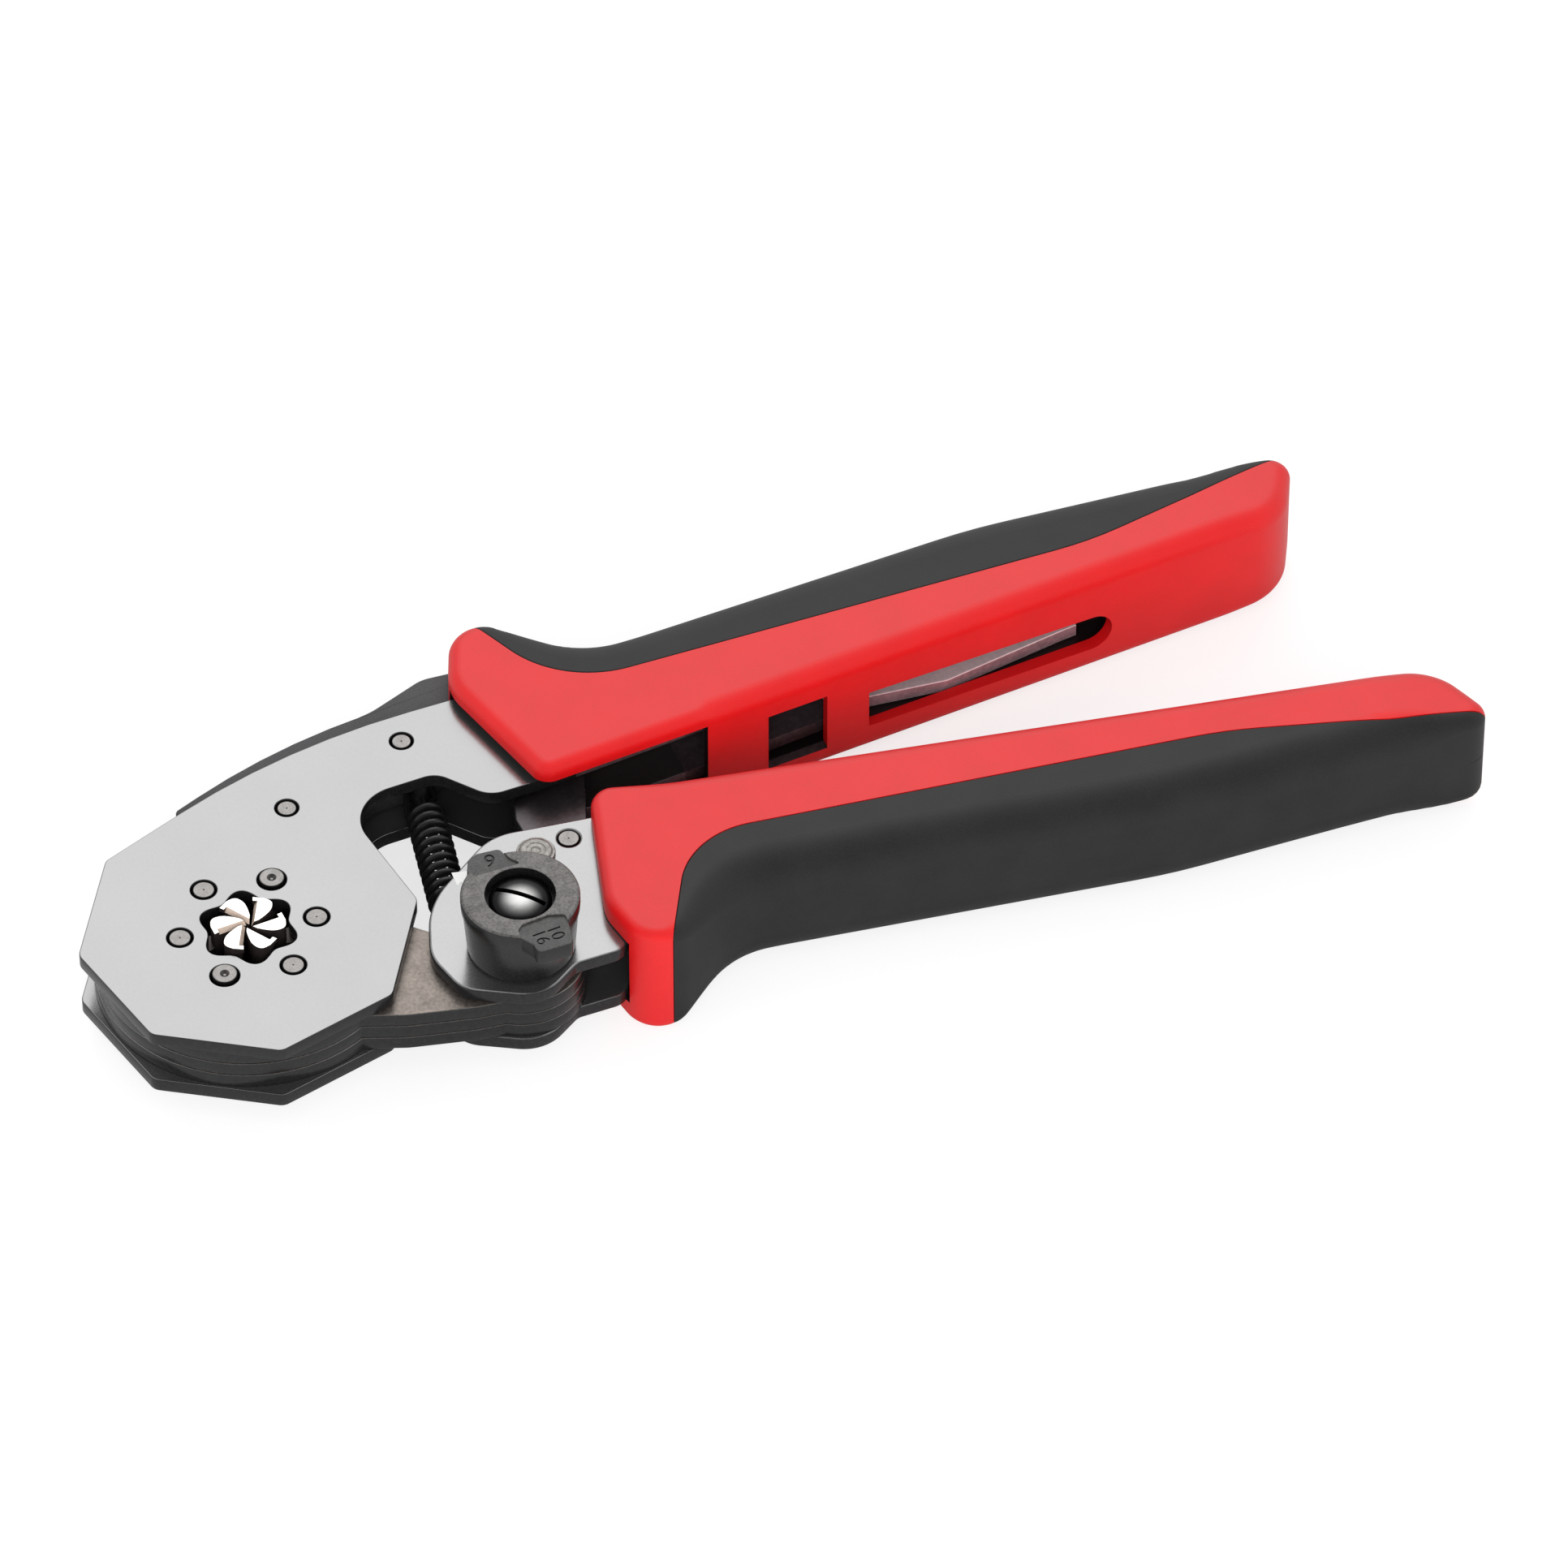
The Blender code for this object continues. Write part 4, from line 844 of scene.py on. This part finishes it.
boolean(screw, "DIFFERENCE", sheet("screw_slot", [slot], dome_foot + 0.35, crown + 1.0))
mesh = smooth(plain(screw), 40.0)
tones = mesh.attributes.get("tone") or mesh.attributes.new("tone", "FLOAT", "POINT")
# Painted highlight: the dome stays light round this spot and fades to black away from it and below.
highlight_spot = axis + Vector((-0.3, -0.7, crown)) * MM
for spot, tone in zip(mesh.vertices, tones.data):
    away = (spot.co - highlight_spot).length / MM
    tone.value = ease(away, 0.3, 3.2) if spot.co.z > head.z + (dome_foot + 0.4) * MM else 1.0
dress("dome_screw", mesh, [painted_highlight_screw], "selector", ["knob_screw"])

# Covers: red, fine-grained mouldings that slip over the steel of each handle. The fixed one has a wide
# mouth, a window and a slot on its inner side; both give way to the soft grip along a seam.
HANDLE_HALF = 9.0
HANDLE_LENGTH = 160.2
HANDLE_BEND = (114.2, 33.5)
LEVER_TURN = -4.1
LEVER_SHIFT = (8.9, 16.1)
SEAM_END = HANDLE_LENGTH + 7.8
MOUTH_END = 68.4
MOUTH_HALF = 6.6
ROOM_HALF = 7.5
TIP_OUTER = 30.9
BACK_ROUND = 5.0
TIP_ROUND = 2.2
TIP_TAPER = 1.2
TAPER_START = HANDLE_LENGTH - 15.0
red = grained("red_moulding", (0.71, 0.006, 0.008), 0.07, 0.0, 0.46, 5200.0, 0.4, 0.05, 0.53)
# Painted shade: the walls of the hollows inside the covers are coloured near black.
cavity_shade = grained("dark_cavity", (0.012, 0.007, 0.008), 0.2, 0.0, 0.55, 2500.0, 0.1)
noses = {"fixed": [(44.2, 8.8), (38.5, 29.2), (43.2, 41.25), (58.5, 30.2)],
         "moving": [(40.9, 8.8), (37.0, 29.0), (40.4, 41.2), (55.2, 30.2)]}
tips = {"fixed": [(HANDLE_LENGTH - 5.6, 18.7, 8.0), (HANDLE_LENGTH, 29.7, 2.7), (142.5, 31.8, 60.0)],
        "moving": [(HANDLE_LENGTH - 5.6, 19.6, 8.0), (HANDLE_LENGTH, TIP_OUTER, 2.7)]}
seams = {
    "fixed": [(34.9, 60.0), (52.3, 22.9, 15.0), (127.5, 22.5, 50.0), (146.0, 26.0, 60.0), (163.0, 30.6),
              (163.0, 60.0)],
    "moving": [(34.1, 60.0), (50.8, 21.1, 12.0), (SEAM_END - 44.0, 23.9, 60.0),
               (SEAM_END - 22.0, 28.3, 20.0), (SEAM_END, 30.4), (SEAM_END, 60.0)]}


def seat(mesh, prefix):
    """Set a handle's mesh in its place; the moving one is drawn as a mirror image of the fixed one."""
    if prefix == "moving":
        move = Matrix.Translation((LEVER_SHIFT[0] * MM, LEVER_SHIFT[1] * MM, 0.0))
        mirror = Matrix.Diagonal((1.0, -1.0, 1.0, 1.0))
        mesh.transform(move @ Matrix.Rotation(math.radians(LEVER_TURN), 4, "Z") @ mirror)
        mesh.flip_normals()
    return at_head(mesh)


def shell_outline(prefix):
    inner, lip, hump, valley = noses[prefix]
    corner = 2.6 if prefix == "fixed" else 3.4
    back = [HANDLE_BEND + (80.0,), valley + (14.0,), hump + (5.2,), lip + (8.5,)]
    return rounded([inner + (corner,)] + tips[prefix] + back, 3.0)


def spaced(line, step, closed=False):
    """Points along a line no further apart than a step."""
    dense = []
    for a, b in zip(line, line[1:] + (line[:1] if closed else [])):
        count = max(1, math.ceil(math.dist(a, b) / step))
        for i in range(count):
            dense.append((a[0] + (b[0] - a[0]) * i / count, a[1] + (b[1] - a[1]) * i / count))
    return dense if closed else dense + [line[-1]]


def edge_radius(u, v, nose):
    """Edge rounding of a cover: broad along the back and the inside, tighter round nose and tip."""
    fixed = nose is noses["fixed"]
    tight = 1.8 if fixed else 1.4
    if v > 29.0 and u > nose[2][0]:
        broad = tight + (BACK_ROUND - tight) * ease(u, nose[2][0], nose[3][0] + 2.0)
    elif fixed and v < 20.0:
        broad = tight + 0.8 * ease(u, MOUTH_END - 0.8, MOUTH_END + 0.8)
    else:
        broad = tight + (0.8 if fixed else 1.6) * ease(u, nose[0][0], nose[0][0] + 12.0)
    from_tip = math.dist((u, v), (HANDLE_LENGTH, TIP_OUTER))
    return TIP_ROUND + (broad - TIP_ROUND) * ease(from_tip, 4.5, 16.0)


def thinned(mesh):
    """Thin a handle's mesh, drawn in its own plane, towards the tip."""
    for spot in mesh.vertices:
        tapered = ease(spot.co.x / MM, TAPER_START, HANDLE_LENGTH + 1.0)
        spot.co.z *= 1.0 - TIP_TAPER / HANDLE_HALF * tapered
    return mesh


def moulding(name, outline, nose):
    """Rounded block of a cover, drawn in its own plane."""
    normals = []
    for before, after in zip(outline[-1:] + outline[:-1], outline[1:] + outline[:1]):
        a, b = Vector(before), Vector(after)
        normals.append(Vector((b.y - a.y, a.x - b.x)).normalized())
    radii = [edge_radius(u, v, nose) for u, v in outline]
    rows = []
    steps = [(r * 10.0, 0.0) for r in range(10)] + [(90.0, 0.35)]
    for angle, extra in steps[::-1]:
        c, s = polar(1.0, angle)
        spots = [Vector(p) - n * (r * (1.0 - c) + extra) for p, n, r in zip(outline, normals, radii)]
        rows.append([(*spot, HANDLE_HALF - r + r * s) for spot, r in zip(spots, radii)])
    rows += [[(x, y, -z) for x, y, z in row] for row in rows[::-1]]
    return thinned(split_along(loft(name, rows), [TAPER_START + k for k in range(15)], 0.0))


def standing(outline, near, far):
    """Prism along Y from an outline in X and Z, for the openings of the inner side."""
    return at_head(loft("opening", [[(x, y, z) for x, z in outline] for y in (near, far)]))


bodies = {"fixed": "frame", "moving": "moving_handle"}
covers = {}


def hollowed(prefix, cutter, finish):
    """Cut an opening into a cover; its walls take the finish."""
    cutter.materials.append(finish)
    boolean(covers[prefix], "DIFFERENCE", cutter)


def inner_face(x, depth=1.2):
    """Corner of a hollow that starts a little behind the inner face of the fixed cover."""
    return (x, 11.9 + 0.1 * (x - 77.0) + depth)


for prefix in bodies:
    outline = spaced(shell_outline(prefix), 1.2, closed=True)
    mesh = seat(moulding(prefix + "_moulding", outline, noses[prefix]), prefix)
    mesh.materials.append(red)
    covers[prefix] = add(prefix + "_moulding", mesh)
    seam_block = sheet(prefix + "_seam", [rounded(seams[prefix], 3.0)], -14.0, 14.0)
    seam_block.transform(Matrix.Translation(-head))
    hollowed(prefix, seat(seam_block, prefix), red)
seat_half = STACK_HALF + GAP
spine_half = CORE_HALF + GAP
mouth = [(30.0, 2.0), (MOUTH_END, 2.0), (MOUTH_END, 21.7), (53.0, 21.7), (45.6, 28.8), (42.0, 30.0),
         (30.0, 30.0)]
core_seat = [inner_face(60.0), inner_face(129.0), (129.0, 21.7), (60.0, 21.75)]
window_room = [inner_face(74.5), inner_face(88.5), (88.5, 21.0), (74.5, 21.0)]
spine_seat = [(30.0, 29.0), (45.2, 28.5), (45.2, 31.0), (43.0, 36.6), (36.0, 37.6), (30.0, 37.6)]
# The hollows of the fixed cover take the painted shade on their walls.
for outline, half in ((mouth, MOUTH_HALF), (core_seat, seat_half), (window_room, ROOM_HALF),
                      (spine_seat, spine_half)):
    hollowed("fixed", sheet("hollow", [outline], -half, half), cavity_shade)
window = [(77.3, -5.3), (86.0, -5.3), (86.0, 4.3), (77.3, 4.3)]
# The window's sill is cut with the painted shade finish.
window_sill = [(77.3, -5.5), (86.0, -5.5), (86.0, -5.2), (77.3, -5.2)]
slot_end = [(92.2, 2.1), (92.2, -4.2), (125.4, -4.7)] + arc((125.6, -1.75), 2.95, -90.0, 92.0, 8.0)
for outline, near, far, finish in ((window, 5.0, 15.0, red), (window_sill, 5.0, 15.0, painted_shade_core),
                                   (slot_end, 8.0, 18.6, red)):
    hollowed("fixed", standing(outline, near, far), finish)
lever_seat = [(30.0, -22.0), (44.2, -22.0), (57.3, -7.85), (80.5, -8.5), (80.5, -2.9), (48.9, 2.9),
              (30.0, 2.9)]
link_notch = [(38.0, -4.0), (52.4, -4.0), (53.6, 8.0), (38.0, 8.0)]
# The hollows of the moving cover take the painted shade on their walls.
for outline, half in ((lever_seat, seat_half), (link_notch, spine_half)):
    hollowed("moving", sheet("hollow", [outline], -half, half), cavity_shade)
for prefix, body in bodies.items():
    mesh = smooth(plain(covers[prefix]), 30.0)
    dress(prefix + "_red_cover", mesh, list(mesh.materials), body, [prefix + "_cover"])

# Grips: soft black rubber moulded over the back of each cover. A flat rim follows the seam, rolls over
# a broad shoulder to an upright back with a parting line, and a scoop behind the hump stops the hand.
BACK_CROWN = 0.25
PARTING = 0.12
PARTING_SHOWN = 154.0
SEAM_SLIT = 0.04
SEAM_LIP = 0.2
HEEL_ROWS = 50
BACK_ROWS = 150
RIM_STEPS = 6
SHOULDER_STEPS = 16
WALL_STEPS = 5
rubber = grained("black_grip_rubber", (0.0135,) * 3, 0.3, 0.0, 0.58, 4600.0, 0.6, 0.05, 0.36)


def inside(point, outline):
    hit = False
    for a, b in zip(outline, outline[1:] + outline[:1]):
        if (a[1] > point[1]) != (b[1] > point[1]):
            if point[0] < a[0] + (point[1] - a[1]) * (b[0] - a[0]) / (b[1] - a[1]):
                hit = not hit
    return hit


def nearest(point, line):
    return min(range(len(line)), key=lambda i: math.dist(point, line[i]))


def along(line, count):
    """Points spaced evenly along a line, ends included."""
    lengths = [0.0]
    for a, b in zip(line, line[1:]):
        lengths.append(lengths[-1] + math.dist(a, b))
    spots, i = [], 0
    for k in range(count + 1):
        at = lengths[-1] * k / count
        while i < len(line) - 2 and lengths[i + 1] < at:
            i += 1
        share = (at - lengths[i]) / max(1e-9, lengths[i + 1] - lengths[i])
        spots.append(Vector(line[i]).lerp(Vector(line[i + 1]), min(1.0, share)))
    return spots


for prefix, body in bodies.items():
    nose = noses[prefix]
    outline = spaced(shell_outline(prefix), 0.3, closed=True)
    line = [p for p in spaced(rounded(seams[prefix], 3.0)[:-1], 0.3) if inside(p, outline)]
    first, final = nearest(line[0], outline), nearest(line[-1], outline)
    back = (outline[final:] + outline[:first + 1] if first < final else outline[final:first + 1])[::-1]
    turn_in, turn_out = nearest(seams[prefix][1][:2], line), nearest(nose[3], back)
    seam_line = along(line[:turn_in + 1], HEEL_ROWS)[:-1] + along(line[turn_in:], BACK_ROWS)
    back_line = along(back[:turn_out + 1], HEEL_ROWS)[:-1] + along(back[turn_out:], BACK_ROWS)
    rows = []
    for s, o in zip(seam_line, back_line):
        width = max(0.06, (o - s).length)
        fine = min(1.0, width / 1.5)
        way = (o - s).normalized() if (o - s).length > 1e-6 else Vector((0.0, 1.0))
        rim = Vector(back[nearest(s, back)])
        reach = max(0.05, (rim - s).length)
        r = edge_radius(rim.x, rim.y, nose)
        crown_back = BACK_CROWN * ease(reach, 1.0, 6.0)
        brow = width - crown_back
        slit, lip = SEAM_SLIT * fine, (SEAM_SLIT + SEAM_LIP) * fine
        start = reach * (1.0 - lip / width)
        bend = min(r, 0.96 * start)
        lean = math.asin(max(0.0, 1.0 - bend / r))
        depths = [start + (bend - start) * j / RIM_STEPS for j in range(RIM_STEPS)]
        depths += [r * (1.0 - math.sin(lean + (math.pi / 2 - lean) * j / SHOULDER_STEPS))
                   for j in range(SHOULDER_STEPS + 1)]
        heights = [HANDLE_HALF - r + math.sqrt(r * r - max(0.0, r - d) ** 2) for d in depths]
        curve = [(brow - (brow - lip) * d / start, z) for d, z in zip(depths, heights)]
        top, wall = curve[0][1], curve[-1][1]
        section = [(slit, top - 0.25), (slit + 0.05 * fine, top - 0.08)] + curve
        section += [(brow + crown_back * math.sin(math.pi / 2 * j / WALL_STEPS),
                     wall - (wall - 0.3) * j / WALL_STEPS) for j in range(1, WALL_STEPS + 1)]
        groove = PARTING * ease(s.x, PARTING_SHOWN, PARTING_SHOWN + 3.0) * fine + 0.004
        section += [(width, 0.12), (width - groove, 0.0)]
        section += [(d, -z) for d, z in section[-2::-1]]
        rows.append([(s.x + way.x * d, s.y + way.y * d, z) for d, z in section])
    mesh = seat(thinned(loft(prefix + "_soft_grip", rows)), prefix)
    dress(prefix + "_soft_grip", smooth(mesh, 50.0), [rubber], body, [prefix + "_grip"])

# Stage: a white sheet under the tool, one large soft box behind and above it, a fill from the front
# left, a dim card that the steel mirrors, and a camera at the height and angle of the photograph.
FLOOR_HALF = 6.0
CARD_HALF = (2.2, 1.5)
CARD_REACH = 1.4
WHITE = (1.0, 1.0, 1.0, 1.0)
bpy.context.scene.view_settings.view_transform = "Standard"
target = head + Vector((74.37, -1.32, STACK_HALF)) * MM
eye = Vector((-405.8, -1035.4, 1150.4)) * MM


def board(name, half_x, half_y):
    """Flat board centred on the origin."""
    mesh = bpy.data.meshes.new(name)
    corners = ((-1, -1), (1, -1), (1, 1), (-1, 1))
    mesh.from_pydata([(x * half_x, y * half_y, 0.0) for x, y in corners], [], [(0, 1, 2, 3)])
    return add(name, mesh)


def any_ray(tree, first, *others):
    """Node that tells whether a ray is of one of the named kinds."""
    seen = add_node(tree, "LightPath")
    found, output = seen, first
    for kind in others:
        either = add_node(tree, "Math", operation="MAXIMUM")
        link(found, output, either, 0)
        link(seen, kind, either, 1)
        found, output = either, 0
    return found


def aimed(name, data, offset):
    """Lamp or camera set off from the tool's middle and turned towards it."""
    thing = add(name, data)
    thing.location = target + offset
    thing.rotation_euler = (-offset).to_track_quat("-Z", "Y").to_euler()
    return thing


def softbox(name, offset, size, power):
    lamp = bpy.data.lights.new(name, "AREA")
    lamp.shape = "DISK"
    lamp.size = size
    lamp.energy = power
    return aimed(name, lamp, Vector(offset))


floor = board("floor", FLOOR_HALF, FLOOR_HALF)
matt = {"Roughness": 0.9, "Specular IOR Level": 0.0, "Emission Color": WHITE}
paper, tree, shader = new_finish("white_sheet", matt)
straight = any_ray(tree, "Is Camera Ray", "Is Transmission Ray")
glow = add_node(tree, "Math", {1: 0.72}, operation="MULTIPLY")
sheet_tone = add_node(tree, "Mix", {6: (0.82, 0.82, 0.82, 1.0), 7: (0.37, 0.37, 0.37, 1.0)},
                      data_type="RGBA")
link(straight, 0, glow, 0)
link(glow, 0, shader, "Emission Strength")
link(straight, 0, sheet_tone, 0)
link(sheet_tone, 2, shader, "Base Color")
floor.data.materials.append(paper)

world = bpy.context.scene.world or bpy.data.worlds.new("studio")
bpy.context.scene.world = world
world.use_nodes = True
sky = world.node_tree.nodes["Background"]
sky.inputs["Color"].default_value = WHITE
strength = add_node(world.node_tree, "MapRange", {"To Min": 0.62, "To Max": 1.0})
shining = any_ray(world.node_tree, "Is Camera Ray", "Is Glossy Ray", "Is Transmission Ray")
link(shining, 0, strength, "Value")
link(strength, "Result", sky, "Strength")

softbox("back_softbox", (0.38, 0.97, 1.08), 1.3, 5.9)
softbox("front_fill", (-0.5, -1.3, 0.8), 1.2, 18.0).visible_glossy = False
card = board("dark_card", *CARD_HALF)
facing = (-eye).to_track_quat("-Z", "Y").to_matrix().to_4x4()
card.data.transform(Matrix.Translation(target + eye * CARD_REACH) @ facing)
dusk = {"Base Color": (0.0, 0.0, 0.0, 1.0), "Specular IOR Level": 0.0, "Emission Color": WHITE,
        "Emission Strength": 0.3}
card.data.materials.append(new_finish("dim_room", dusk)[0])
card.visible_camera = False
card.visible_diffuse = False
card.visible_shadow = False
camera = bpy.data.cameras.new("camera")
camera.sensor_width = 36.0
camera.lens = 279.06
camera.clip_end = 20.0
bpy.context.scene.camera = aimed("camera", camera, eye)
